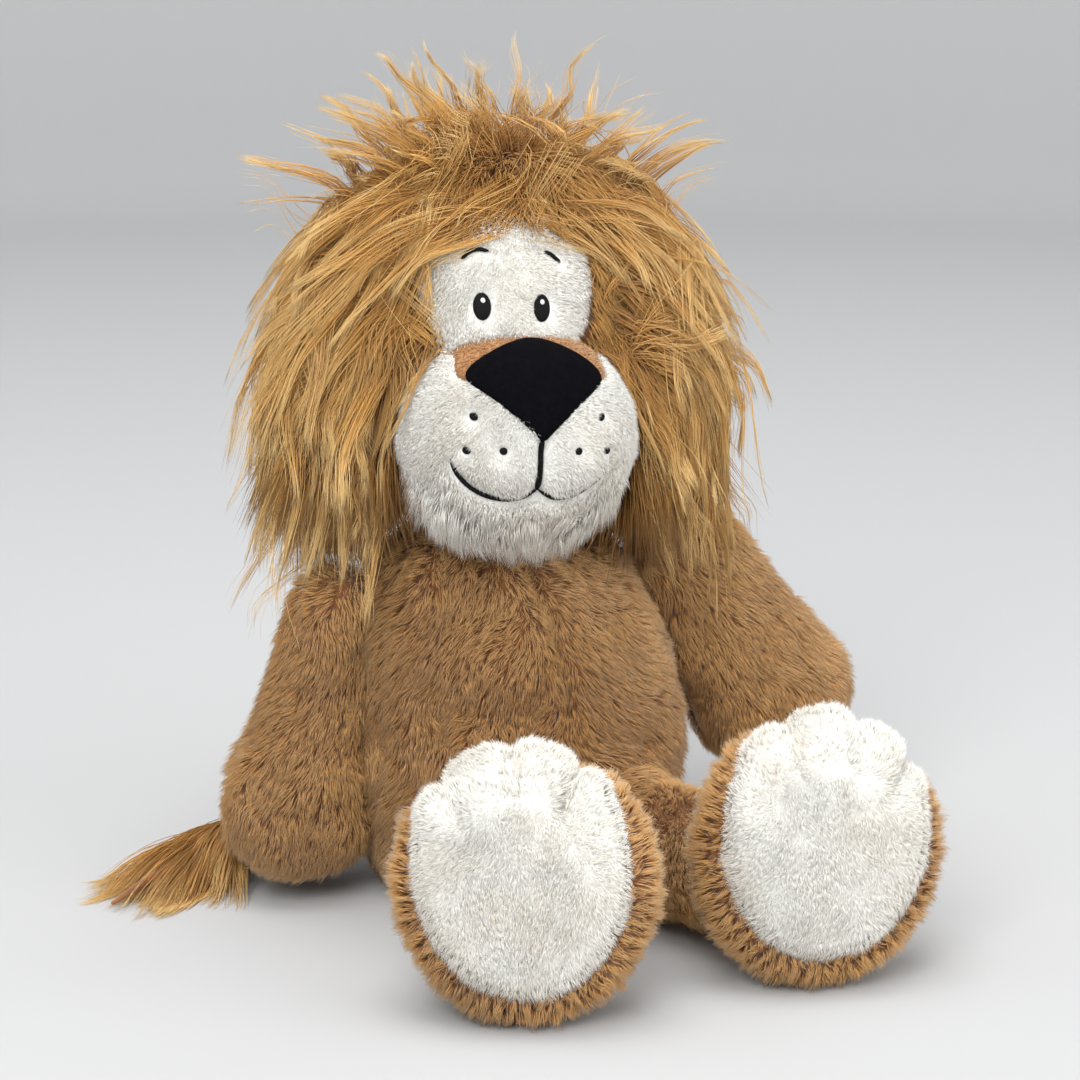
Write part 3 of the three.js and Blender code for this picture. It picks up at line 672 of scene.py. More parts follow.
@dataclass
class FootForm(SoftForm):
    """A foot: an upright oval cushion with its sole in front. Its own Z runs forward."""

    outline: Outline = Outline([
        (0, 0), (0.42, 0.04), (0.76, 0.17), (0.94, 0.36), (1, 0.55), (0.95, 0.76), (0.8, 0.91),
        (0.5, 0.99), (0, 1),
    ])
    half_width: float = 44 * MM
    half_depth: float = 47.5 * MM
    height: float = 37 * MM
    base: float = -18.5 * MM
    seed: int = 51
    pad_half_width: float = 38.5 * MM
    pad_half_height: float = 47 * MM
    pad_rise: float = 7.5 * MM
    toe_wrap: float = 0.55
    groove: float = 3.6 * MM
    groove_width: float = 0.035
    rim_swell: float = 2.0 * MM
    gathers: int = 46
    gather_depth: float = 0.9 * MM
    tucks: tuple[float, ...] = (-34.0, 8.0, 42.0)
    tuck_depth: float = 4.6 * MM
    tuck_width: float = 5.0

    def up_angle(self, angles: Array) -> Array:
        """The angle from straight up, from -180 to 180 degrees, right of up being positive."""
        return (90 - np.degrees(angles) + 180) % 360 - 180

    def rim_share(self) -> float:
        """The share along the outline at which the foot is widest."""
        shares = np.linspace(0, 1, 400)
        radii, _ = self.along(shares)
        return float(shares[np.argmax(radii)])

    def pad_edge(self, angles: Array) -> Array:
        """The share along the outline at which the sole pad starts, at angles around the foot."""
        shares = np.linspace(self.rim_share(), 1, 200)
        radii, _ = self.along(shares)
        across, up = np.cos(angles) * self.half_width, np.sin(angles) * self.half_depth
        a = (across / self.pad_half_width) ** 2 + (up / self.pad_half_height) ** 2
        b = -2 * up * self.pad_rise / self.pad_half_height**2
        c = (self.pad_rise / self.pad_half_height) ** 2 - 1
        reach = (-b + np.sqrt(b * b - 4 * a * c)) / (2 * a)
        front = np.interp(np.minimum(reach, 1), radii[::-1], shares[::-1])
        return front - np.maximum(reach - 1, 0) * self.toe_wrap

    def tuck(self, angles: Array, way_in: Array) -> Array:
        """How deep the toes' tucks are.

        Args:
            angles: The angles around the foot.
            way_in: The shares of the way from the pad's edge to its middle.

        Returns:
            The depth of the tucks, in metres.
        """
        turn = self.up_angle(angles)
        total = np.zeros(np.shape(turn))
        for at in self.tucks:
            total += np.exp(-(((turn - at) / self.tuck_width) ** 2))
        return self.tuck_depth * total * (1 - smooth(way_in, 0.3, 0.62))

    def sculpt(self, points: Array, normals: Array, angles: Array) -> Array:
        """Gives the foot a gathered rim that swells around the groove of the sole's seam."""
        levels = points.shape[0]
        shares = np.broadcast_to(np.linspace(0, 1, levels)[:, None], points.shape[:2])
        edge = self.pad_edge(angles)
        away = (shares - edge) / self.groove_width
        groove = self.groove * np.exp(-np.maximum(away, 0) ** 2) * smooth(away, -1.6, 0)
        rim = np.exp(-(((shares - mix(self.rim_share(), edge, 0.45)) / 0.1) ** 2))
        noise = Noise(self.seed)
        wander = noise.at(points, 16 * MM)[..., 0] * 1.2
        gather = np.sin(self.gathers * angles + 2.5 * wander) + 0.5 * np.sin(
            2.3 * self.gathers * angles + 4 * wander
        )
        toes = self.tuck(angles, np.zeros(np.shape(angles))) * rim
        swell = self.rim_swell * rim + self.gather_depth * gather * rim * (away < 0.4)
        fold = noise.at(points, 24 * MM)[..., 1] * MM
        return points + normals * (swell - groove - toes + fold)[..., None]


@dataclass
class SoleForm:
    """The white sole pad that is sewn over the front of a foot and wraps over its toes."""

    foot: FootForm
    levels: int = 44
    sides: int = 160
    edge_rise: float = 0.6 * MM
    puff: float = 4.2 * MM
    wrinkle: float = 1.9 * MM

    def rings(self) -> Array:
        """The pad's points, from its back in under its edge and over its front."""
        foot = self.foot
        angles = np.arange(self.sides) * TURN / self.sides
        edge = foot.pad_edge(angles)
        way_in = np.linspace(0, 1, self.levels) ** 1.15
        shares = edge + (1 - edge) * way_in[:, None]
        front, _ = self._at(shares, angles)
        normals = grid_normals(front)
        normals[-1] = unit(normals[-3].mean(0))
        rise = self.edge_rise + self.puff * smooth(way_in, 0, 0.16) ** 0.6
        rise = np.repeat(rise[:, None], self.sides, 1)
        rise -= foot.tuck(np.broadcast_to(angles, rise.shape), way_in[:, None])
        noise = Noise(foot.seed + 5)
        crumple = smooth(way_in, 0.08, 0.3) * (1 - smooth(way_in, 0.45, 0.8))
        top = smooth(np.cos(np.radians(foot.up_angle(angles))), 0.1, 0.8)
        wrinkles = noise.at(front, 9 * MM)[..., 0] * self.wrinkle * crumple[:, None] * top
        soft = noise.at(front, 26 * MM)[..., 1] * 0.9 * MM
        outer = front + normals * (rise + wrinkles + soft)[..., None]
        outer[-1] = outer[-1].mean(0)
        back_way = np.linspace(1, 0, 5)[:-1]
        back_shares = edge + (1 - edge) * back_way[:, None]
        back, out = self._at(back_shares, angles)
        back -= out * 3.4 * MM
        back[0] = back[0].mean(0)
        return placed(np.concatenate([back, outer]), foot.place)

    def _at(self, shares: Array, angles: Array) -> tuple[Array, Array]:
        """Where the plain foot is, with ways out of it that lean outward at the rim.

        Args:
            shares: Places along the foot's outline.
            angles: The angles around the foot.

        Returns:
            The points and the ways out, in the foot's own axes.
        """
        foot = self.foot
        radii, heights = foot.along(shares)
        across, up = np.cos(angles), np.sin(angles)
        points = np.stack([
            radii * across * foot.half_width, radii * up * foot.half_depth,
            foot.base + heights * foot.height,
        ], -1)
        lean = 0.6 * smooth(radii, 0.7, 1)
        return points, unit(np.stack([lean * across, lean * up, np.ones(shares.shape)], -1))


# Finishes


class Shader:
    """A material's nodes, built one after another."""

    def __init__(self, name: str) -> None:
        """Starts a material with one principled shader.

        Args:
            name: The material's name.
        """
        self.material = bpy.data.materials.new(name)
        self.material.use_nodes = True
        self.nodes = self.material.node_tree.nodes
        self.links = self.material.node_tree.links
        self.surface = self.nodes["Principled BSDF"]

    def node(self, kind: str, **values: object) -> bpy.types.Node:
        """Adds a node and sets its properties."""
        made = self.nodes.new(kind)
        for key, value in values.items():
            setattr(made, key, value)
        return made

    def join(self, source: Socket, target: Socket) -> None:
        """Links an output to an input."""
        self.links.new(source, target)

    def set(self, **values: object) -> None:
        """Sets inputs of the principled shader, with _ for each space in their names."""
        for key, value in values.items():
            self.surface.inputs[key.replace("_", " ")].default_value = value

    def ramp(self, source: Socket, stops: list[tuple]) -> Socket:
        """Turns a value into a colour.

        Args:
            source: The value from 0 to 1.
            stops: Pairs of a place and a colour.

        Returns:
            The colour's output.
        """
        ramp = self.node("ShaderNodeValToRGB")
        elements = ramp.color_ramp.elements
        while len(elements) < len(stops):
            elements.new(0.5)
        for element, (at, color) in zip(elements, stops):
            element.position = at
            element.color = color
        self.join(source, ramp.inputs["Fac"])
        return ramp.outputs["Color"]

    def color(self, source: Socket) -> None:
        """Gives the surface its colour."""
        self.join(source, self.surface.inputs["Base Color"])

    def noise(self, scale: float, detail: float) -> bpy.types.Node:
        """Adds noise in the object's own space, with features of 1 / scale metres."""
        where = self.node("ShaderNodeTexCoord")
        made = self.node("ShaderNodeTexNoise")
        made.inputs["Scale"].default_value = scale
        made.inputs["Detail"].default_value = detail
        self.join(where.outputs["Object"], made.inputs["Vector"])
        return made

    def bump(self, source: Socket, height: float, strength: float) -> None:
        """Adds a bump of a given height in metres to the surface."""
        made = self.node("ShaderNodeBump")
        made.inputs["Strength"].default_value = strength
        made.inputs["Distance"].default_value = height
        self.join(source, made.inputs["Height"])
        self.join(made.outputs["Normal"], self.surface.inputs["Normal"])

    def multiplied(self, first: Socket, second: Socket) -> Socket:
        """Multiplies two colours and returns the result's output."""
        made = self.node("ShaderNodeMix", data_type="RGBA", blend_type="MULTIPLY")
        made.inputs["Factor"].default_value = 1
        self.join(first, made.inputs[6])
        self.join(second, made.inputs[7])
        return made.outputs[2]


@dataclass(frozen=True)
class PileFinish:
    """The colour of pile or hair from its root to its tip."""

    name: str
    slot: str
    root: Color
    middle: Color
    tip: Color
    darkest: float = 0.62
    roughness: float = 0.6
    sheen: float = 0.25

    def material(self) -> bpy.types.Material:
        """Builds the material, whose colour follows each strand's shade and place on it."""
        shader = Shader(self.name)
        tip = shader.node("ShaderNodeAttribute", attribute_name="tip")
        shade = shader.node("ShaderNodeAttribute", attribute_name="shade")
        # Darker at the root, lighter at the tip: partly the fibre's own colour, partly painted
        # shade deep in the pile and painted light on the tips.
        along = shader.ramp(tip.outputs["Fac"], [
            (0.0, linear(*self.root)), (0.5, linear(*self.middle)), (1.0, linear(*self.tip)),
        ])
        # The strand's shade value darkens it towards darkest: painted shade of its tuft and patch,
        # with a little random tone.
        dark = self.darkest
        depth = shader.ramp(shade.outputs["Fac"], [
            (0.0, (dark, dark * 0.94, dark * 0.88, 1)), (1.0, (1, 1, 1, 1)),
        ])
        shader.color(shader.multiplied(along, depth))
        shader.set(
            Roughness=self.roughness, Sheen_Weight=self.sheen, Sheen_Roughness=0.5,
            Specular_IOR_Level=0.15,
        )
        return shader.material


@dataclass(frozen=True)
class ClothFinish:
    """The backing of a plush or velour, with a fine nap."""

    name: str
    slot: str
    dark: Color
    light: Color
    grain: float = 900.0
    roughness: float = 0.9
    sheen: float = 0.3
    bump: float = 0.5 * MM
    shine: float = 0.2

    def material(self) -> bpy.types.Material:
        """Builds the material with noise in its colour and its nap."""
        shader = Shader(self.name)
        patches = shader.noise(self.grain / 6, 4)
        shader.color(shader.ramp(patches.outputs["Fac"], [
            (0.3, linear(*self.dark)), (0.7, linear(*self.light)),
        ]))
        nap = shader.noise(self.grain, 2)
        shader.bump(nap.outputs["Fac"], self.bump, 0.7)
        shader.set(
            Roughness=self.roughness, Sheen_Weight=self.sheen, Sheen_Roughness=0.6,
            Specular_IOR_Level=self.shine,
        )
        return shader.material


BROWN_PILE = PileFinish(
    "brown_plush_pile", "brown_plush", root=(170, 116, 58), middle=(220, 166, 100),
    tip=(242, 202, 142), darkest=0.66, roughness=0.75,
)
# Darker than the pile: painted shade that shows between the strands.
BROWN_BACKING = ClothFinish(
    "brown_plush_backing", "brown_plush", dark=(128, 82, 42), light=(160, 108, 60)
)
WHITE_PILE = PileFinish(
    "white_plush_pile", "white_plush", root=(250, 249, 243), middle=(252, 252, 247),
    tip=(253, 253, 249), darkest=0.97, sheen=0.15,
)
WHITE_BACKING = ClothFinish(
    "white_plush_backing", "white_plush", dark=(232, 231, 226), light=(246, 245, 241)
)
TAN_PILE = PileFinish(
    "tan_plush_pile", "tan_plush", root=(176, 124, 76), middle=(204, 152, 98),
    tip=(216, 170, 118), darkest=0.8,
)
# Darker than the pile: painted shade that shows between the strands.
TAN_BACKING = ClothFinish(
    "tan_plush_backing", "tan_plush", dark=(158, 108, 64), light=(184, 136, 88)
)
MANE_HAIR = PileFinish(
    "mane_hair", "mane_hair", root=(156, 104, 49), middle=(220, 170, 96), tip=(248, 216, 152),
    darkest=0.66, sheen=0.1,
)
# A darker copy of the hair for the undercoat and the curtain: painted shade in the depths of the
# mane.
SHADED_MANE_UNDERCOAT = PileFinish(
    "mane_undercoat", "mane_hair", root=(132, 88, 42), middle=(184, 134, 70),
    tip=(218, 172, 100), darkest=0.66, roughness=0.7, sheen=0.1,
)
# Darker than the hair: painted shade in the depths of the mane, on the hood, the head and the
# tuft's core.
MANE_BACKING = ClothFinish(
    "mane_backing", "mane_hair", dark=(112, 68, 30), light=(150, 98, 48), grain=500
)
NOSE_VELOUR = ClothFinish(
    "nose_velour", "nose_velour", dark=(5, 5, 8), light=(9, 9, 13), grain=2600, sheen=0.0,
    bump=0.15 * MM, shine=0.05,
)
STUFFING = ClothFinish(
    "fibre_stuffing", "stuffing", dark=(226, 225, 220), light=(246, 246, 242), grain=300
)
BEAN_SACK = ClothFinish(
    "bean_sack_cloth", "beans", dark=(196, 194, 184), light=(216, 214, 204), grain=260
)


@dataclass(frozen=True)
class ThreadFinish:
    """Embroidery thread with a soft shine."""

    name: str
    slot: str
    color: Color
    roughness: float = 0.5
    shine: float = 0.4

    def material(self) -> bpy.types.Material:
        """Builds the material with a fine twist along the thread."""
        shader = Shader(self.name)
        twist = shader.noise(2400, 2)
        low = tuple(int(part * 0.7) for part in self.color)
        shader.color(shader.ramp(twist.outputs["Fac"], [
            (0.3, linear(*low)), (0.7, linear(*self.color)),
        ]))
        shader.bump(twist.outputs["Fac"], 0.1 * MM, 0.5)
        shader.set(Roughness=self.roughness, Specular_IOR_Level=self.shine)
        return shader.material


BLACK_THREAD = ThreadFinish(
    "black_thread", "thread", (11, 10, 12), roughness=0.65, shine=0.15
)
WHITE_THREAD = ThreadFinish("white_thread", "thread", (236, 236, 234))

Finish = PileFinish | ClothFinish | ThreadFinish


class Wardrobe:
    """Holds each finish's material, so that pieces share it."""

    def __init__(self) -> None:
        """Starts with no materials."""
        self._made: dict[str, bpy.types.Material] = {}

    def dress(self, item: Item, finish: Finish) -> None:
        """Gives an object a finish."""
        if finish.name not in self._made:
            self._made[finish.name] = finish.material()
        item.data.materials.clear()
        item.data.materials.append(self._made[finish.name])


WARDROBE = Wardrobe()


def settle(
    item: Item, body: str, finish: Finish, nodes: tuple[str, ...] = (),
) -> Item:
    """Dresses a piece, puts it on its body and hides the solids that it stands for.

    Args:
        item: The piece.
        body: The body that it rides on.
        finish: What it is made of.
        nodes: The solids that it stands for.

    Returns:
        The piece.
    """
    WARDROBE.dress(item, finish)
    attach(item, body)
    if nodes:
        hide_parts(*nodes)
    LOG.info("%s: %d faces on %s", item.name, len(item.data.polygons), body)
    return item


def piece(
    name: str, rings: Array, body: str, finish: Finish, node: str = "",
) -> Item:
    """Makes a closed form of rings and settles it.

    Args:
        name: The piece's name.
        rings: Its points as rings, sides, xyz.
        body: The body that it rides on.
        finish: What it is made of.
        node: The solid that it stands for, if there is one.

    Returns:
        The piece.
    """
    return settle(grid_mesh(name, rings), body, finish, (node,) if node else ())


# Pile and hair


def strand_mesh(name: str, paths: Array, widths: Array, shades: Array) -> Item:
    """Makes thin closed strands that start and end in a point.

    Args:
        name: The object's name.
        paths: The strands' lines as strands, points, xyz.
        widths: The strands' widths at the points between their ends, as strands, points - 2.
        shades: Each strand's shade from 0 to 1.

    Returns:
        The object, with a shade and a place along the strand at each vertex.
    """
    count, steps, _ = paths.shape
    rings = steps - 2
    ahead = unit(np.gradient(paths, axis=1))[:, 1:-1]
    chord = unit(paths[:, -1] - paths[:, 0])
    spare = np.where(np.abs(chord[:, 2:]) < 0.9, [[0.0, 0.0, 1.0]], [[1.0, 0.0, 0.0]])
    across = unit(np.cross(ahead, spare[:, None]))
    up = np.cross(ahead, across)
    corner_turns = np.arange(3) * TURN / 3
    half = widths[..., None, None] / 2
    ring_points = paths[:, 1:-1, None] + half * (
        np.cos(corner_turns)[:, None] * across[:, :, None]
        + np.sin(corner_turns)[:, None] * up[:, :, None]
    )
    per = 3 * rings + 2
    points = np.concatenate([
        paths[:, :1], ring_points.reshape(count, rings * 3, 3), paths[:, -1:]
    ], axis=1)
    local = [[0, 1 + (i + 1) % 3, 1 + i] for i in range(3)]
    for ring in range(rings - 1):
        low = 1 + 3 * ring
        for i in range(3):
            after = (i + 1) % 3
            local.append([low + i, low + after, low + 3 + after])
            local.append([low + i, low + 3 + after, low + 3 + i])
    last = 1 + 3 * (rings - 1)
    local += [[last + i, last + (i + 1) % 3, per - 1] for i in range(3)]
    faces = (np.arange(count)[:, None, None] * per + np.array(local)[None]).reshape(-1, 3)
    item = build_mesh(name, points.reshape(-1, 3), faces)
    place = np.concatenate([
        [0.0], np.repeat(np.arange(1, rings + 1) / (steps - 1), 3), [1.0]
    ])
    tips = np.tile(place, count)
    shade = np.repeat(np.clip(shades, 0, 1), per)
    nudge = np.concatenate([[0.0], np.tile([-0.006, 0.0, 0.006], rings), [0.0]])
    across_uv = np.clip(shade + np.tile(nudge, count), 0, 1)
    for key, values in (("shade", shade), ("tip", tips)):
        attribute = item.data.attributes.new(key, "FLOAT", "POINT")
        attribute.data.foreach_set("value", values.astype(np.float32))
    layer = item.data.uv_layers.new(name="OFBake")
    corners = faces.ravel()
    layer.data.foreach_set(
        "uv", np.stack([across_uv[corners], tips[corners]], 1).astype(np.float32).ravel()
    )
    return item


@dataclass(frozen=True)
class Pile:
    """How the pile of a plush stands: its size, its lie and its tufts."""

    length: float
    width: float = 0.55 * MM
    density: float = 0.9e6
    lie: float = 0.75
    tip_lie: float = 1.15
    tuft: float = 3.2 * MM
    gather: float = 0.55
    wander: float = 0.5
    jitter: float = 0.22
    uneven: float = 0.3

    def sow(
        self, name: str, skin: Skin, seed: int, comb: Rule,
        keep: Rule, body: str, finish: PileFinish,
        nodes: tuple[str, ...] = (), trim: Callable[[Array], Array] | None = None,
    ) -> None:
        """Sows the pile on a surface.

        Args:
            name: The piece's name.
            skin: The surface.
            seed: The number that all random draws follow from.
            comb: Gives the way the pile is brushed at places with their outward directions.
            keep: Says which places carry pile.
            body: The body that the pile rides on.
            finish: Its finish.
            nodes: The solids that it stands for.
            trim: Gives a factor on the pile's length at places.
        """
        rng = np.random.default_rng(seed)
        roots, out = skin.scatter(self.density, rng)
        kept = keep(roots, out)
        roots, out = roots[kept], out[kept]
        noise = Noise(seed + 1)
        brushed = unit(comb(roots, out)) + self.wander * noise.at(roots, 17 * MM)
        brushed = brushed + 0.5 * self.wander * noise.at(roots, 6 * MM)
        brushed = brushed + rng.normal(0, self.jitter, roots.shape)
        brushed = unit(brushed - (brushed * out).sum(-1, keepdims=True) * out)
        sizes = self.length * (1 + self.uneven * rng.uniform(-1, 1, len(roots)))
        sizes *= 1 + 0.18 * noise.at(roots, 9 * MM)[:, 0]
        if trim is not None:
            sizes *= trim(roots)
        stand = self.lie + 0.34 * noise.at(roots, 14 * MM)[:, 1]
        stand += rng.normal(0, 0.12, len(roots))
        ways = [
            unit(out * np.cos(lean)[:, None] + brushed * np.sin(lean)[:, None])
            for lean in (stand, stand + self.tip_lie - self.lie)
        ]
        middle = roots + ways[0] * (sizes * 0.5)[:, None]
        tip = middle + ways[1] * (sizes * 0.5)[:, None]
        step = max(1, round(self.tuft**2 * self.density))
        owner = nearest(roots, rng.permutation(len(roots))[::step])
        hold = (self.gather * rng.uniform(0.5, 1, len(roots)))[:, None]
        tip = mix(tip, tip[owner] + 0.12 * (roots - roots[owner]), hold)
        middle = mix(middle, middle[owner] + 0.5 * (roots - roots[owner]), hold * 0.5)
        start = roots - out * 0.6 * MM
        # Shade values: the broad patches and the steps from tuft to tuft are painted light and
        # shade of the pile's lie; the small per-strand part is random tone.
        shades = 0.5 + 0.34 * noise.at(roots, 16 * MM)[:, 2] + 0.08 * rng.normal(0, 1, len(roots))
        shades += 0.16 * rng.uniform(-1, 1, len(roots))[owner]
        widths = self.width * rng.uniform(0.75, 1.25, (len(roots), 1))
        paths = np.stack([start, middle, tip], 1)
        settle_strands(name, body, finish, paths, widths, shades, nodes)


BODY_PILE = Pile(length=9 * MM, width=0.3 * MM, density=1.9e6, wander=0.75, lie=0.75)


def down(points: Array, out: Array) -> Array:
    """Brushes pile straight down."""
    return np.broadcast_to([0.0, 0.0, -1.0], points.shape)


def outside(points: Array, forms: list[SoftForm], reach: float) -> Array:
    """Whether points lie outside some forms, or less deep in them than a reach."""
    free = np.ones(len(points), bool)
    for form in forms:
        free &= ~form.inside(points, -reach)
    return free


# The scene's parts


@dataclass
class Torso:
    """The stuffed body, with its filling and its bag of beans."""

    form: TorsoForm = field(default_factory=TorsoForm)
    bean_depth: float = 46 * MM
    seam_gap: float = 0.3 * MM
    inset: float = 6 * MM

    def build(self, hides: list[SoftForm]) -> None:
        """Builds the body's pieces.

        Args:
            hides: The forms whose insides carry none of the body's pile.
        """
        cover = piece(
            "torso_plush", self.form.rings(72, 120), "torso", BROWN_BACKING, "torso_cover"
        )

        def keep(points: Array, out: Array) -> Array:
            """Leaves pile off the seat and inside the legs."""
            return (out[:, 2] > -0.75) & outside(points, hides, SEAM_REACH)

        def comb(points: Array, out: Array) -> Array:
            """Brushes the pile down and away from the belly seam."""
            way = np.zeros(points.shape)
            way[:, 2] = -1
            away = points[:, 0] - self.form.seam_aside(points[:, 2] / self.form.height)
            way[:, 0] = 0.7 * np.tanh(away / (12 * MM))
            return way

        BODY_PILE.sow("torso_pile", Skin.of(cover), 101, comb, keep, "torso", BROWN_PILE)
        self._fillings()

    def _fillings(self) -> None:
        """Builds the fibre filling and the bag of beans under it."""
        rings = self.form.rings(48, 64, self.inset)
        heights = rings[:, 0, 2]
        above = np.argmax(heights > self.bean_depth + 0.5 * MM) - 1
        upper = rings[above:].copy()
        upper[..., 2] = np.maximum(upper[..., 2], self.bean_depth + self.seam_gap)
        upper[0] = upper[0].mean(0)
        piece("torso_stuffing", upper, "torso", STUFFING, "torso_filling")
        below = len(heights) - np.argmax(heights[::-1] < self.bean_depth) + 1
        lower = rings[:below].copy()
        lower[..., 2] = np.minimum(lower[..., 2], self.bean_depth)
        lower[-1] = lower[-1].mean(0)
        piece("bean_sack", lower, "torso", BEAN_SACK, "bean_bag")


@dataclass
class Neck:
    """The soft neck that joins the head to the body."""

    radius: float = 28 * MM

    def build(self) -> None:
        """Builds the neck's cover and its filling."""
        knots = [(math.sin(math.pi * i / 8), -math.cos(math.pi * i / 8)) for i in range(9)]
        place = Matrix.Translation(JOINT_PLACES["head_turn"])
        for name, radius, finish, node in (
            ("neck_plush", self.radius, BROWN_BACKING, "neck_cover"),
            ("neck_stuffing", self.radius - COVER_THICKNESS, STUFFING, "neck_filling"),
        ):
            form = SoftForm(Outline(knots), radius, radius, radius, 0.0, place)
            piece(name, form.rings(32, 48), "neck", finish, node)


@dataclass
class Patch:
    """A closed, slightly puffed patch that is sewn on a skin, drawn as it is seen from in front."""

    outline: list[tuple[float, float]]
    thickness: float
    puff: float = 0.5
    edge_share: float = 0.35
    sink: float = 0.4 * MM
    tilt: float = 0.0
    back_levels: int = 5
    levels: int = 18
    sides: int = 96

    def rings(self, skin: "Surface") -> Array:
        """The patch's points, from its back's middle over its edge to its front's middle.

        Args:
            skin: The surface that the patch lies on.

        Returns:
            The points as rings, sides, xyz, in the frame's axes.
        """
        knots = np.array(self.outline)
        closed = smooth_loop(knots, self.sides)
        centre = closed.mean(0)
        back = np.linspace(0, 1, self.back_levels + 1)[:-1]
        reach = np.concatenate([back, np.linspace(1, 0, self.levels) ** 0.8])
        flat = centre + reach[:, None, None] * (closed - centre)
        hits, out = skin.pressed(flat, self.tilt)
        front = np.arange(len(reach)) >= self.back_levels
        swell = np.maximum(1 - np.clip(reach, 0, 1) ** 2.6, 0) ** self.puff
        rise = self.thickness * mix(self.edge_share, 1.0, swell)
        height = np.where(front, rise, -self.sink)
        points = hits + out * height[:, None, None]
        points[0] = points[0].mean(0)
        points[-1] = points[-1].mean(0)
        return points


def smooth_loop(knots: Array, count: int) -> Array:
    """A smooth closed line through some knots, in even steps that run anticlockwise."""
    line = smooth_curve(knots, closed=True)[:-1]
    x, y = line.T
    if (x * np.roll(y, -1) - np.roll(x, -1) * y).sum() < 0:
        line = line[::-1]
    return resampled(np.vstack([line, line[:1]]), count + 1)[:-1]


def smooth_line(knots: Array, count: int) -> Array:
    """A smooth open line through some knots, in steps of even length."""
    return resampled(smooth_curve(knots), count)


def resampled(line: Array, count: int) -> Array:
    """A line's points in steps of even length."""
    run = np.concatenate([[0], np.cumsum(np.linalg.norm(np.diff(line, axis=0), axis=1))])
    at = np.linspace(0, run[-1], count)
    return np.stack([np.interp(at, run, line[:, i]) for i in range(line.shape[1])], 1)


def turned(vector: Array, matrix: Matrix) -> Array:
    """A direction turned by a matrix."""
    return np.asarray(vector) @ np.array(matrix)[:3, :3].T


class Surface:
    """A skin's triangles, ready for rays."""

    FAR = 0.2

    def __init__(self, *items: Item) -> None:
        """Reads the meshes of some objects.

        Args:
            items: The objects.
        """
        points, faces = [], []
        for item in items:
            first = len(points)
            points += [vertex.co.copy() for vertex in item.data.vertices]
            faces += [[first + i for i in face.vertices] for face in item.data.polygons]
        self._tree = BVHTree.FromPolygons(points, faces)

    def cast(self, starts: Array, way: Array) -> tuple[Array, Array]:
        """Where rays meet the surface, with the direction out of it there.

        Args:
            starts: The rays' starts, whose last axis is x, y, z.
            way: The direction of all rays.

        Returns:
            The places and directions, shaped like the starts.
        """
        flat = starts.reshape(-1, 3)
        hits = np.zeros(flat.shape)
        out = np.zeros(flat.shape)
        direction = Vector(way)
        for number, start in enumerate(flat):
            place, normal, _, _ = self._tree.ray_cast(Vector(start), direction)
            if place is None:
                place, normal, _, _ = self._tree.find_nearest(Vector(start) + direction * self.FAR)
            hits[number] = place
            out[number] = normal
        return hits.reshape(starts.shape), out.reshape(starts.shape)

    def pressed(self, flat: Array, tilt: float = 0.0) -> tuple[Array, Array]:
        """Where a drawing meets the surface, when it is pressed on it from in front.

        Args:
            flat: The drawing's points as x and height, in the head's axes.
            tilt: The degrees by which it is seen from above.

        Returns:
            The places on the surface and the directions out of it there.
        """
        lean = math.radians(tilt)
        up = np.array([0, math.sin(lean), math.cos(lean)])
        toward = np.array([0, -math.cos(lean), math.sin(lean)])
        places = flat[..., :1] * np.array([1.0, 0, 0]) + flat[..., 1:] * up
        starts = placed(places + toward * self.FAR, HEAD_PLACE)
        return self.cast(starts, turned(-toward, HEAD_PLACE))

    def covers(self, points: Array, out: Array, reach: float) -> Array:
        """Whether the surface lies over points, within a reach along their outward way."""
        found = [
            self._tree.ray_cast(Vector(point), Vector(way), reach)[0] is not None
            for point, way in zip(points, out)
        ]
        return np.array(found, bool)

    def distance(self, points: Array) -> Array:
        """How far points lie from the surface."""
        return np.array([self._tree.find_nearest(Vector(point))[3] for point in points])


@dataclass
class Stitch:
    """A line of satin stitch on a skin, drawn as it is seen from in front."""

    knots: list[tuple[float, float]]
    width: float
    thickness: float = 1.5 * MM
    taper: float = 0.12
    steps: int = 90

    def rings(self, skin: Surface) -> Array:
        """The thread's points, ring by ring along its line."""
        hits, out = skin.pressed(smooth_line(np.array(self.knots), self.steps))
        for _ in range(4):
            out[1:-1] = unit(out[:-2] + out[1:-1] + out[2:])
            hits[1:-1] = (hits[:-2] + 2 * hits[1:-1] + hits[2:]) / 4
        along = unit(np.gradient(hits, axis=0))
        side = unit(np.cross(out, along))
        share = np.linspace(0, 1, self.steps)
        size = np.clip(np.minimum(share, 1 - share) / self.taper, 0, 1) ** 0.5
        size = size * (1 + 0.05 * np.sin(share * self.steps * 1.7))
        angles = np.arange(10) * TURN / 10
        wide = (self.width / 2 * size)[:, None, None] * np.cos(angles)[:, None] * side[:, None]
        high = (self.thickness / 2 * size)[:, None, None] * np.sin(angles)[:, None] * out[:, None]
        return (hits + out * self.thickness * 0.6)[:, None] + wide + high


def pushed_out(points: Array, form: SoftForm, margin: float) -> Array:
    """Moves points out of a form.

    Args:
        points: The points, whose last axis is x, y, z.
        form: The form.
        margin: How far from the form's skin they have to be.

    Returns:
        The moved points. Those that are far enough stay.
    """
    depth = np.maximum(form.depth(points) + margin, 0)
    local = placed(points, form.place.inverted())
    middle = form.base + form.height / 2
    share = np.clip((local[..., 2] - form.base) / form.height, 0, 1)
    aside, back = form.middle(share)
    away = np.stack([
        (local[..., 0] - aside) / form.half_width, (local[..., 1] - back) / form.half_depth,
        (local[..., 2] - middle) / form.height,
    ], -1)
    return points + turned(unit(away), form.place) * depth[..., None]


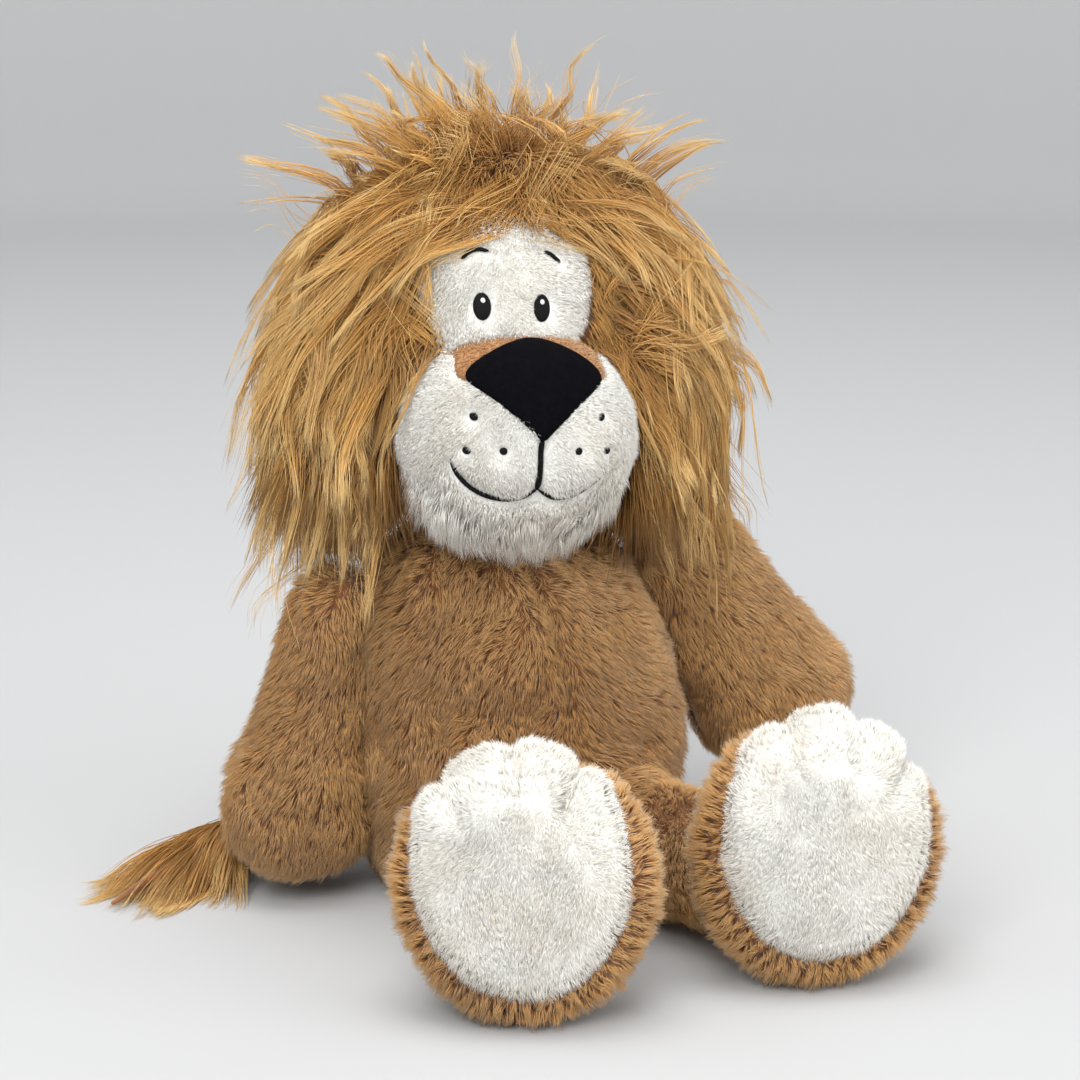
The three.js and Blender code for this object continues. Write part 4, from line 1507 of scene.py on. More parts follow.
def pulled_in(points: Array, form: SoftForm, room: Array) -> Array:
    """Points drawn back towards a form, where they are further from it than their room.

    Args:
        points: The points, one row each.
        form: The form.
        room: How far from the form each point may stay.

    Returns:
        The moved points. Those below the form are only drawn in sideways.
    """
    local = placed(points, form.place.inverted())
    low = form.base + 0.12 * form.height
    raised = local.copy()
    raised[..., 2] = np.maximum(local[..., 2], low)
    beyond = np.maximum(-form.depth(placed(raised, form.place)) - room, 0)
    aside, back = form.middle(np.zeros(local.shape[:-1]))
    away = np.stack([
        (local[..., 0] - aside) / form.half_width, (local[..., 1] - back) / form.half_depth,
        np.maximum(local[..., 2] - form.base - 0.4 * form.height, 0) / form.height,
    ], -1)
    return points - turned(unit(away), form.place) * (0.85 * beyond)[..., None]


def settle_strands(
    name: str, body: str, finish: PileFinish, paths: Array, widths: Array, shades: Array,
    nodes: tuple[str, ...] = (),
) -> None:
    """Makes strands in as many pieces as their number asks for, and settles them.

    Args:
        name: The start of the pieces' names.
        body: The body that they ride on.
        finish: Their finish.
        paths: The strands' lines as strands, points, xyz.
        widths: The strands' widths between their ends.
        shades: The strands' shades from 0 to 1.
        nodes: The solids that they stand for.
    """
    paths = paths.copy()
    paths[..., 2] = np.maximum(paths[..., 2], 0.4 * MM)
    per_strand = 6 + 6 * (paths.shape[1] - 3)
    count = max(1, math.ceil(len(paths) * per_strand / MOST_TRIANGLES))
    for number, chosen in enumerate(np.array_split(np.arange(len(paths)), count), 1):
        item = strand_mesh(f"{name}_{number}", paths[chosen], widths[chosen], shades[chosen])
        settle(item, body, finish, nodes)


@dataclass
class Head:
    """The head: its ball, the muzzle, the face panel and everything sewn on them."""

    form: HeadForm = field(default_factory=lambda: HeadForm(place=HEAD_PLACE))
    muzzle: MuzzleForm = field(default_factory=lambda: MuzzleForm(place=HEAD_PLACE))
    panel_outline: tuple = (
        (-6, 130), (8, 131), (20, 125), (27, 112), (26, 98), (21, 84), (18, 74), (-6, 70),
        (-30, 74), (-33, 84), (-38, 98), (-39, 112), (-32, 125), (-20, 131),
    )
    nose_outline: tuple = (
        (0, 20.5), (5, 19.6), (14, 15.4), (23, 10.2), (26.3, 6), (24.5, 0.5), (13, -12),
        (3, -21), (0, -22.3), (-3, -21), (-13, -12), (-24.5, 0.5), (-26.3, 6), (-23, 10.2),
        (-14, 15.4), (-5, 19.6),
    )
    bridge_outline: tuple = (
        (0, 42), (14, 40), (24, 32), (28, 19), (27, 5), (0, 4), (-27, 5), (-28.5, 19), (-26, 32),
        (-14, 40),
    )
    slant: float = 40.0
    muzzle_centre: tuple[float, float] = (-45.0, 46.0)
    eyes_aside: tuple = ((Side.RIGHT, -17.7), (Side.LEFT, 5.8))
    eye_height: float = 98.0
    eye_size: tuple[float, float] = (3.4, 5.3)
    glint_height: float = 100.6
    glint_size: tuple[float, float] = (0.9, 1.0)
    brows: tuple = (
        (Side.RIGHT, ((-24.4, 115), (-21.5, 117.6), (-18, 119), (-14, 118.6))),
        (Side.LEFT, ((7.5, 118.8), (10.5, 118), (14.4, 114.8))),
    )
    mouth_stem: tuple = ((0, 53), (0.3, 44), (0.6, 36), (0.8, 30.5))
    smile_right: tuple = ((-33, 42.5), (-30, 35.5), (-24, 30), (-16, 27), (-7, 27.5), (0.8, 31))
    smile_left: tuple = ((0.8, 31), (8, 27.6), (15, 28), (22, 31.5), (28, 36.5), (33, 42.5))
    dots: tuple = (
        (Side.RIGHT, ((-25.5, 59), (-28, 46), (-15, 47))),
        (Side.LEFT, ((15, 47), (28, 46), (25.5, 59))),
    )
    dot_radius: float = 1.5
    white: Pile = Pile(
        length=4.2 * MM, width=0.25 * MM, density=2.9e6, lie=0.65, tip_lie=1.05, tuft=2.4 * MM,
        gather=0.3, wander=0.8, jitter=0.3,
    )
    chin: Pile = Pile(
        length=14 * MM, width=0.32 * MM, density=0.9e6, lie=0.72, tip_lie=0.85, tuft=6 * MM,
        gather=0.75, wander=0.35, jitter=0.15,
    )
    bridge_pile: Pile = Pile(
        length=2.0 * MM, width=0.35 * MM, density=2.2e6, lie=0.8, tip_lie=1.1, tuft=1.6 * MM,
        gather=0.3, wander=0.3,
    )

    def build(self) -> Item:
        """Builds the head's pieces and returns its skin."""
        ball = piece(
            "head_plush", self.form.rings(48, 72), "head", MANE_BACKING, "head_cover"
        )
        inner = self.form.rings(32, 48, COVER_THICKNESS)
        piece("head_stuffing", inner, "head", STUFFING, "head_filling")
        muzzle = piece(
            "muzzle_plush", self.muzzle.rings(90, 140), "head", WHITE_BACKING, "muzzle_cover"
        )
        on_head, on_muzzle = Surface(ball), Surface(muzzle)
        panel = self._patch(
            "face_panel_plush", self.panel_outline, on_head, 2.2 * MM, WHITE_BACKING,
            "face_panel",
        )
        bridge = self._patch(
            "nose_bridge_plush", self._on_muzzle(self.bridge_outline), on_muzzle, 1.1 * MM,
            TAN_BACKING, "nose_bridge", self.slant,
        )
        nose = self._patch(
            "nose_velour", self._on_muzzle(self.nose_outline), on_muzzle, 4.2 * MM, NOSE_VELOUR,
            "nose_pad", self.slant, 0.5,
        )
        face = Surface(panel, ball)
        threads = [*self._eyes(face), *self._brows(face), *self._mouth(on_muzzle)]
        threads += self._dots(on_muzzle)
        self._piles(muzzle, panel, bridge, nose, threads)
        return ball

    def _on_muzzle(self, outline: tuple) -> tuple:
        """Moves an outline from the muzzle's centre to the head's axes, seen at the slant."""
        back, rise = self.muzzle_centre
        tilt = math.radians(self.slant)
        shift = back * math.sin(tilt) + rise * math.cos(tilt)
        return tuple((x, y + shift) for x, y in outline)

    def _patch(
        self, name: str, outline: tuple, skin: Surface, thickness: float, finish: Finish,
        node: str = "", tilt: float = 0.0, edge_share: float = 0.35,
    ) -> Item:
        """Builds a sewn patch from an outline in millimetres."""
        knots = [(x * MM, y * MM) for x, y in outline]
        patch = Patch(knots, thickness, tilt=tilt, edge_share=edge_share)
        return piece(name, patch.rings(skin), "head", finish, node)

    def _eyes(self, face: Surface) -> list[Item]:
        """Builds the embroidered eyes, each with its small highlight."""
        made = []
        for side, aside in self.eyes_aside:
            name = f"{side.word}_eye"
            eye = self._patch(
                f"{name}_stitching", oval(aside, self.eye_height, *self.eye_size, 12), face,
                1.5 * MM, BLACK_THREAD, name,
            )
            glint = self._patch(
                f"{name}_highlight", oval(aside, self.glint_height, *self.glint_size, 8),
                Surface(eye), 0.5 * MM, WHITE_THREAD,
            )
            made += [eye, glint]
        return made

    def _stitch(
        self, name: str, knots: tuple, width: float, skin: Surface, node: str = ""
    ) -> Item:
        """Builds a line of thread from knots in millimetres."""
        line = Stitch([(x * MM, y * MM) for x, y in knots], width)
        return piece(name, capped(line.rings(skin)), "head", BLACK_THREAD, node)

    def _brows(self, face: Surface) -> list[Item]:
        """Builds the two embroidered brows."""
        return [
            self._stitch(f"{side.word}_brow_stitching", line, 1.6 * MM, face, f"{side.word}_brow")
            for side, line in self.brows
        ]

    def _mouth(self, skin: Surface) -> list[Item]:
        """Builds the line under the nose and the two halves of the smile."""
        return [
            self._stitch("mouth_stem", self.mouth_stem, 2.2 * MM, skin, "mouth_stitching"),
            self._stitch("mouth_right_half", self.smile_right, 1.9 * MM, skin),
            self._stitch("mouth_left_half", self.smile_left, 1.7 * MM, skin),
        ]

    def _dots(self, skin: Surface) -> list[Item]:
        """Builds the six whisker dots."""
        made = []
        for side, spots in self.dots:
            for number, (x, y) in enumerate(spots, 1):
                name = f"{side.word}_whisker_dot_{number}"
                ring = oval(x, y, self.dot_radius, self.dot_radius, 8)
                made.append(self._patch(
                    f"{name}_stitching", ring, skin, 1.2 * MM, BLACK_THREAD, name
                ))
        return made

    def _piles(
        self, muzzle: Item, panel: Item, bridge: Item,
        nose: Item, threads: list[Item],
    ) -> None:
        """Sows the white and tan piles of the face."""
        sewn = Surface(*threads)
        covers = Surface(nose, bridge)
        nose_skin = Surface(nose)

        def clear(points: Array, surface: Surface, room: float) -> Array:
            """Whether points keep some room to a surface."""
            return surface.distance(points) > room

        def comb(points: Array, out: Array) -> Array:
            """Brushes the face's pile down and away from its middle."""
            way = np.zeros(points.shape)
            way[:, 0] = 0.6 * np.tanh(placed(points, INTO_HEAD)[:, 0] / (15 * MM))
            way[:, 2] = -0.8
            return way

        def trim(points: Array) -> Array:
            """Shears the pile short beside the embroidery."""
            return mix(0.25, 1.0, smooth(sewn.distance(points), 0.3 * MM, 3.5 * MM))

        def muzzle_keep(points: Array, out: Array) -> Array:
            """Leaves pile off where the head, the nose, the bridge or a thread covers it."""
            kept = ~self.form.inside(points, -2 * MM)
            return kept & clear(points, covers, 0.7 * MM) & clear(points, sewn, 0.5 * MM)

        def panel_keep(points: Array, out: Array) -> Array:
            """Leaves pile off the panel's back and off its threads."""
            return clear(points, sewn, 0.5 * MM) & (turned(out, INTO_HEAD)[:, 1] < 0.3)

        for name, item, seed, keep in (
            ("muzzle_pile", muzzle, 201, muzzle_keep), ("face_panel_pile", panel, 203, panel_keep),
        ):
            self.white.sow(
                name, Skin.of(item), seed, comb, keep, "head", WHITE_PILE, trim=trim
            )

        def below_smile(points: Array) -> Array:
            """How far points lie below the chin's upper edge."""
            local = placed(points, INTO_HEAD)
            return self.muzzle.smile_height(local[:, 0]) - 4 * MM - local[:, 2]

        def chin_keep(points: Array, out: Array) -> Array:
            """Keeps the chin's pile under the mouth."""
            forward = placed(points, INTO_HEAD)[:, 1] < -28 * MM
            return (below_smile(points) > 0) & forward & clear(points, sewn, 2 * MM)

        def chin_trim(points: Array) -> Array:
            """Lets the chin's pile grow longer away from the mouth."""
            return mix(0.3, 1.0, smooth(below_smile(points), 0, 15 * MM))

        self.chin.sow(
            "chin_pile", Skin.of(muzzle), 205, down, chin_keep, "head", WHITE_PILE,
            ("chin_fur",), chin_trim,
        )

        def bridge_keep(points: Array, out: Array) -> Array:
            """Leaves pile off where the nose or the head covers the bridge."""
            return clear(points, nose_skin, 0.6 * MM) & ~self.form.inside(points, -2 * MM)

        self.bridge_pile.sow(
            "nose_bridge_pile", Skin.of(bridge), 207, comb, bridge_keep, "head", TAN_PILE
        )


def oval(x: float, y: float, half_width: float, half_height: float, count: int) -> tuple:
    """The points of an upright oval, as many as its count says."""
    turns = [TURN * i / count for i in range(count)]
    return tuple((x + half_width * math.cos(t), y + half_height * math.sin(t)) for t in turns)


def capped(rings: Array) -> Array:
    """Rings with a single point before the first and after the last."""
    start = np.repeat(rings[:1].mean(1, keepdims=True), rings.shape[1], 1)
    end = np.repeat(rings[-1:].mean(1, keepdims=True), rings.shape[1], 1)
    return np.concatenate([start, rings, end])


@dataclass
class Arm:
    """An arm that hangs from its shoulder seam."""

    side: Side
    angle: float
    sleeve_share: float
    hand_centre: float
    inner_swell: float = 0.0
    back_degrees: float = 5.0
    inset: float = 4.5 * MM

    def form(self) -> ArmForm:
        """The arm's stuffed form."""
        shoulder = Matrix.Translation(JOINT_PLACES[f"{self.side.word}_arm_swing"])
        place = shoulder @ spun("Y", -self.side.value * self.angle) @ spun("X", self.back_degrees)
        return ArmForm(
            place=place, side=self.side, sleeve_share=self.sleeve_share,
            hand_centre=self.hand_centre, inner_swell=self.inner_swell,
        )

    def build(self, hides: list[SoftForm]) -> None:
        """Builds the arm's cover, filling and pile.

        Args:
            hides: The forms whose insides carry none of the arm's pile.
        """
        form, body = self.form(), f"{self.side.word}_arm"
        cover = piece(
            f"{body}_plush", form.rings(64, 84), body, BROWN_BACKING, f"{body}_cover"
        )
        inner = form.rings(40, 48, self.inset)
        piece(f"{body}_stuffing", inner, body, STUFFING, f"{body}_filling")
        inverse = form.place.inverted()

        def keep(points: Array, out: Array) -> Array:
            """Leaves pile off the flat inner side and inside the body."""
            facing = turned(out, inverse)[:, 0] * self.side.value
            return (facing > -0.93) & outside(points, hides, SEAM_REACH / 2)

        def comb(points: Array, out: Array) -> Array:
            """Brushes the pile down and outward."""
            return np.broadcast_to([0.55 * self.side.value, 0, -1], points.shape)

        BODY_PILE.sow(
            f"{body}_pile", Skin.of(cover), 301 + self.side.value, comb, keep, body, BROWN_PILE
        )


@dataclass
class Leg:
    """A leg with its foot and the foot's white sole."""

    side: Side
    angle: float
    foot_turn: float
    foot_tilt: float
    foot_ahead: float
    tucks: tuple[float, ...]
    foot_lean: float = -12.0
    length: float = 86 * MM
    foot_rise: float = 22 * MM
    inset: float = 6 * MM
    rim_pile: Pile = Pile(
        length=7.5 * MM, width=0.3 * MM, density=2.2e6, lie=0.55, tip_lie=0.8, tuft=3.4 * MM,
        gather=0.6, wander=0.35, jitter=0.18,
    )
    sole_pile: Pile = Pile(
        length=5.2 * MM, width=0.25 * MM, density=2.2e6, lie=0.6, tip_lie=1.0, tuft=2.6 * MM,
        gather=0.35, wander=0.8, jitter=0.3,
    )

    def place(self) -> Matrix:
        """The hip's place, turned so that the leg points along its own -Y."""
        hip = Matrix.Translation(JOINT_PLACES[f"{self.side.word}_leg_swing"])
        return hip @ spun("Z", self.side.value * self.angle)

    def leg_form(self) -> LegForm:
        """The leg's stuffed form."""
        return LegForm(place=self.place() @ spun("X", 90))

    def foot_form(self) -> FootForm:
        """The foot's stuffed form."""
        ahead = Matrix.Translation((0, -self.length - self.foot_ahead, self.foot_rise))
        turns = spun("Z", self.foot_turn) @ spun("X", self.foot_lean) @ spun("Y", self.foot_tilt)
        place = self.place() @ ahead @ turns @ spun("X", 90)
        return FootForm(place=place, seed=51 + self.side.value, tucks=self.tucks)

    def build(self, hides: list[SoftForm]) -> None:
        """Builds the leg's, the foot's and the sole's pieces.

        Args:
            hides: The forms whose insides carry none of the leg's pile.
        """
        word = self.side.word
        body = f"{word}_leg"
        leg, foot = self.leg_form(), self.foot_form()
        thigh = piece(
            f"{body}_plush", leg.rings(56, 72), body, BROWN_BACKING, f"{body}_cover"
        )
        cushion = piece(
            f"{word}_foot_plush", foot.rings(96, 288), body, BROWN_BACKING,
            f"{word}_foot_cover",
        )
        pad = piece(
            f"{word}_sole_plush", SoleForm(foot).rings(), body, WHITE_BACKING,
            f"{word}_sole_pad",
        )
        for name, form in ((body, leg), (f"{word}_foot", foot)):
            inner = form.rings(32, 48, self.inset)
            piece(f"{name}_stuffing", inner, body, STUFFING, f"{name}_filling")
        self._piles(thigh, cushion, pad, leg, foot, hides)

    def _piles(
        self, thigh: Item, cushion: Item, pad: Item,
        leg: LegForm, foot: FootForm, hides: list[SoftForm],
    ) -> None:
        """Sows the pile of the leg, the foot's rim and the sole."""
        word = self.side.word
        body = f"{word}_leg"
        forward = turned(np.array([0, 0, 1.0]), leg.place)

        def leg_comb(points: Array, out: Array) -> Array:
            """Brushes the leg's pile to the foot and down."""
            return np.broadcast_to(forward + [0, 0, -0.5], points.shape)

        def leg_keep(points: Array, out: Array) -> Array:
            """Leaves pile off inside the foot and the body."""
            return ~foot.inside(points, -2 * MM) & outside(points, hides, SEAM_REACH)

        BODY_PILE.sow(
            f"{body}_pile", Skin.of(thigh), 401 + self.side.value, leg_comb, leg_keep, body,
            BROWN_PILE,
        )
        sole = Surface(pad)
        inverse = foot.place.inverted()

        def rim_keep(points: Array, out: Array) -> Array:
            """Leaves pile off under the sole and inside the leg."""
            under = sole.covers(points, out, 14 * MM) | (sole.distance(points) < 1.2 * MM)
            return ~under & ~leg.inside(points, -2 * MM)

        def rim_comb(points: Array, out: Array) -> Array:
            """Brushes the foot's pile outward and a little back."""
            local = placed(points, inverse)
            local[:, :2] = unit(local[:, :2])
            local[:, 2] = -0.25
            return turned(local, foot.place)

        self.rim_pile.sow(
            f"{word}_foot_pile", Skin.of(cushion), 411 + self.side.value, rim_comb, rim_keep,
            body, BROWN_PILE,
        )

        def sole_keep(points: Array, out: Array) -> Array:
            """Leaves pile off the sole's back."""
            return foot.depth(points) < 0.5 * MM

        def sole_comb(points: Array, out: Array) -> Array:
            """Brushes the sole's pile down, and outward near its edge."""
            local = placed(points, inverse)
            edge = np.hypot(local[:, 0] / foot.pad_half_width, local[:, 1] / foot.half_depth)
            way = local * smooth(edge, 0.5, 0.95)[:, None] / (30 * MM)
            way[:, 2] = 0
            way[:, 1] -= 0.5
            return turned(way, foot.place)

        self.sole_pile.sow(
            f"{word}_sole_pile", Skin.of(pad), 421 + self.side.value, sole_comb, sole_keep,
            body, WHITE_PILE,
        )


@dataclass
class Mane:
    """The long shaggy mane, on a hood around the head. Plain lengths are millimetres."""

    count: int = 24000
    spare: float = 2.2
    steps: int = 10
    clump: int = 17
    width: float = 0.36 * MM
    thinning: float = 0.65
    length: float = 84.0
    crown_longer: float = 12.0
    low_shorter: float = 8.0
    tucked_shorter: float = 32.0
    uneven: float = 17.0
    shortest: float = 34 * MM
    longest: float = 112 * MM
    parting: float = 12 * MM
    disorder: float = 0.36
    spike_share: float = 0.34
    spike_above: float = 124 * MM
    spike_behind: float = -14 * MM
    spike_longest: float = 60 * MM
    wave: float = 1.5 * MM
    wave_turn: float = 1.1
    undercoat: Pile = Pile(
        length=15 * MM, width=0.42 * MM, density=0.9e6, lie=0.9, tip_lie=1.25, wander=0.4,
    )
    curtain: Pile = Pile(
        length=60 * MM, width=0.5 * MM, density=0.8e6, lie=1.4, tip_lie=1.55, tuft=9 * MM,
        gather=0.6, wander=0.3, uneven=0.3,
    )
    hood: SoftForm = field(default_factory=lambda: HoodForm(place=HEAD_PLACE))
    dome: SoftForm = field(default_factory=lambda: HoodForm(
        outline=Outline([
            (0, 0), (0.9, 0.01), (1, 0.13), (1, 0.3), (0.94, 0.48), (0.79, 0.68), (0.6, 0.83),
            (0.36, 0.95), (0, 1),
        ]),
        aside=6 * MM, half_width=90 * MM, half_depth=62 * MM, height=147 * MM, base=15 * MM,
        place=HEAD_PLACE,
    ))

    def build(self, head: HeadForm, ball: Item, rests: list) -> None:
        """Builds the hood and its hair.

        Args:
            head: The head's form.
            ball: The head's skin, which carries hair beside the face.
            rests: The other forms that the hair lies on, each with the room that it keeps.
        """
        bodies = [(head, 2 * MM), *rests]
        hood = piece("mane_base", self.hood.rings(56, 96), "head", MANE_BACKING, "mane")
        rng = np.random.default_rng(601)
        skin = Skin.of(hood, ball)
        self.undercoat.sow(
            "mane_undercoat", skin, 605, lambda points, out: out * [1.0, 1.0, 0] + [0, 0, -0.6],
            lambda points, out: self._bears_hair(points, out, head, rests), "head",
            SHADED_MANE_UNDERCOAT,
        )

        def curtain_keep(points: Array, out: Array) -> Array:
            """Keeps the curtain on the low part of the hood, away from the face."""
            local = placed(points, INTO_HEAD)
            low = (local[:, 2] < 64 * MM) & (local[:, 1] > -36 * MM)
            return low & self._bears_hair(points, out, head, rests)

        self.curtain.sow("mane_curtain", skin, 609, down, curtain_keep, "head", SHADED_MANE_UNDERCOAT)
        roots, out = skin.scatter(self.count * self.spare / float(skin.areas().sum()), rng)
        kept = np.flatnonzero(self._bears_hair(roots, out, head, rests))[: self.count]
        roots, out = roots[kept], out[kept]
        clumps = nearest(roots, rng.permutation(len(roots))[:: self.clump])
        paths = self._grow(roots, out, bodies, clumps, rng)
        paths = self._gathered(paths, roots, clumps, rng)
        shades = hair_shades(clumps, 0.55, 0.09, 0.17, rng)
        widths = hair_widths(self.width, self.thinning, (len(roots), self.steps), rng)
        settle_strands("mane_hair", "head", MANE_HAIR, paths, widths, shades, ("mane",))

    def _bears_hair(self, points: Array, out: Array, head: HeadForm, rests: list) -> Array:
        """Whether places on the hood and the head bear hair: not on the face, nor hidden."""
        local = placed(points, INTO_HEAD)
        kept = (out[:, 2] > -0.6) & (local[:, 2] > 26 * MM)
        kept &= ~(head.inside(points, -1 * MM) | self.hood.inside(points, -1 * MM))
        beside = np.abs(local[:, 0] - FACE_ASIDE) > self.face_half_width(local[:, 2])
        kept &= beside | (local[:, 1] > -10 * MM)
        for form, _ in rests:
            kept &= ~form.inside(points, 2 * MM)
        return kept

    def face_half_width(self, heights: Array) -> Array:
        """How far the hair stays away from the face's middle at some heights."""
        low = smooth(heights, 72 * MM, 100 * MM)
        high = smooth(heights, 119 * MM, 134 * MM)
        return (24 + 8 * low - 33 * high) * MM

    def _parted(self, points: Array) -> Array:
        """Moves points aside where they would hang in front of the face."""
        local = placed(points, INTO_HEAD)
        across = local[..., 0] - FACE_ASIDE
        fringe = 5 * MM * Noise(607).at(local * [1.0, 0.0, 0.0], 15 * MM)[..., 2]
        wide = self.face_half_width(local[..., 2] + fringe)
        wide *= smooth(-local[..., 1], 4 * MM, 20 * MM)
        wide *= smooth(local[..., 2], 20 * MM, 50 * MM)
        short = np.maximum(wide - np.abs(across), 0)
        local[..., 0] += np.where(across < 0, -1, 1) * short
        return placed(local, HEAD_PLACE)

    def _grow(
        self, roots: Array, out: Array, bodies: list, clumps: Array, rng: Random
    ) -> Array:
        """Grows each hair from its root, step by step, bent by its weight.

        Args:
            roots: The hairs' roots.
            out: The directions out of the skin there.
            bodies: The forms that the hair lies on, each with the room that it keeps.
            clumps: For each hair, the number of the hair that leads its lock.
            rng: The source of random numbers.

        Returns:
            The hairs' lines as hairs, points, xyz.
        """
        count = len(roots)
        local, normal = placed(roots, INTO_HEAD), turned(out, INTO_HEAD)
        noise = Noise(603)
        x, y, z = local[:, 0], local[:, 1], local[:, 2]
        across = x - self.parting * smooth(z, 90 * MM, 130 * MM)
        away = unit(np.stack([across, 0.7 * (y - 6 * MM), np.zeros(count)], 1))
        crown = smooth(z, 112 * MM, 138 * MM)
        front = smooth(-y, 0.0, 26 * MM) * smooth(z, 96 * MM, 120 * MM)
        swept = smooth(-x, -5 * MM, 30 * MM) * smooth(z, 80 * MM, 120 * MM)
        lock = rng.normal(0, 1, (count, 6))[clumps]
        low = 1 - smooth(z, 34 * MM, 66 * MM)
        way = 0.45 * normal + mix(0.9, 0.1, low)[:, None] * away + 0.3 * noise.at(roots, 30 * MM)
        way[:, 2] += mix(-0.85, 0.2, smooth(z, 40 * MM, 128 * MM)) - 0.5 * low
        way[:, 0] += np.sign(across) * front * 0.9
        way += self.disorder * lock[:, :3] + rng.normal(0, 0.1, (count, 3))
        tucked = low * (1 - smooth(np.abs(x), 56 * MM, 74 * MM))
        length = self.length + self.crown_longer * crown - self.low_shorter * low
        length = (length - self.tucked_shorter * tucked + self.uneven * lock[:, 3]) * MM
        length = np.clip(length, self.shortest, self.longest) * rng.uniform(0.6, 1.12, count)
        weight = mix(0.14, 0.09, swept) * np.clip(1 + 0.4 * lock[:, 4], 0.3, 2)
        room = (1 + 6 * np.abs(lock[:, 5])) * MM + rng.uniform(0, 3, count) * MM
        spike = (rng.random(count)[clumps] < self.spike_share) & (z > self.spike_above)
        spike &= y > self.spike_behind
        lean = np.stack([x / (70 * MM), np.zeros(count), np.full(count, 1.0)], 1)
        way[spike] = 0.25 * way[spike] + lean[spike] + lock[spike, :3] * [0.24, 0.08, 0.1]
        length[spike] *= np.clip(0.5 + 0.1 * lock[spike, 5], 0.3, 0.66)
        length[spike] = np.minimum(length[spike], self.spike_longest)
        weight[spike] = 0.02
        way = turned(unit(way), HEAD_PLACE)
        away = turned(away, HEAD_PLACE)
        turns = rng.uniform(0, TURN, count)[clumps]
        side = unit(np.cross(way, [0.1, 0.2, 1.0]))
        step = (length / self.steps)[:, None]
        places = [roots - out * 0.8 * MM]
        at = roots
        for number in range(self.steps):
            at = at + way * step
            wave = np.cos(turns + number * self.wave_turn)[:, None] * self.wave
            at = at + side * wave * np.where(spike, 2.0, 1.0)[:, None] * min(number, 3) / 3
            for form, keep in [(self.hood, 1.2 * MM), *bodies]:
                at = pushed_out(at, form, keep)
            loose = room * mix(0.4, 1.6, number / self.steps)
            at = np.where(spike[:, None], at, pulled_in(at, self.dome, loose))
            at = self._parted(at)
            way = unit(at - places[-1]) if number else way
            places.append(at)
            way = way + away * 0.05 + 0.12 * noise.at(at, 26 * MM)
            way[:, 2] -= weight * (0.5 + number / self.steps)
            way = unit(way)
        return np.stack(places, 1)

    def _gathered(
        self, paths: Array, roots: Array, clumps: Array, rng: Random
    ) -> Array:
        """Draws the hairs of each clump together towards their tips."""
        along = np.linspace(0, 1, paths.shape[1])[None, :, None]
        hold = rng.uniform(0.6, 0.97, (len(roots), 1, 1)) * smooth(along, 0.05, 0.8)
        hold = np.where(rng.random((len(roots), 1, 1)) < 0.08, 0.1, hold)
        spread = (roots - roots[clumps])[:, None] * (1 - along) * 0.8
        return mix(paths, paths[clumps] + spread, hold)


def hair_widths(width: float, thinning: float, shape: tuple[int, int], rng: Random) -> Array:
    """Hairs' widths between their ends, where the thinning is the share lost at the tip."""
    along = np.linspace(0, 1, shape[1] + 1)[1:-1]
    return width * (1 - thinning * along**2)[None] * rng.uniform(0.7, 1.3, (shape[0], 1))


def hair_shades(clumps: Array, base: float, own: float, shared: float, rng: Random) -> Array:
    """A shade for each hair that is close to the shade of its clump."""
    # Lighter and darker locks are painted highlight and painted shade; the small per-hair part is
    # random tone.
    shades = base + rng.normal(0, own, len(clumps))
    return shades + rng.normal(0, shared, len(clumps))[clumps]


def nearest(points: Array, chosen: Array) -> Array:
    """For each point, the number of the chosen point that lies nearest."""
    tree = KDTree(len(chosen))
    for number, index in enumerate(chosen.tolist()):
        tree.insert(points[index], number)
    tree.balance()
    return chosen[np.array([tree.find(point)[1] for point in points.tolist()])]


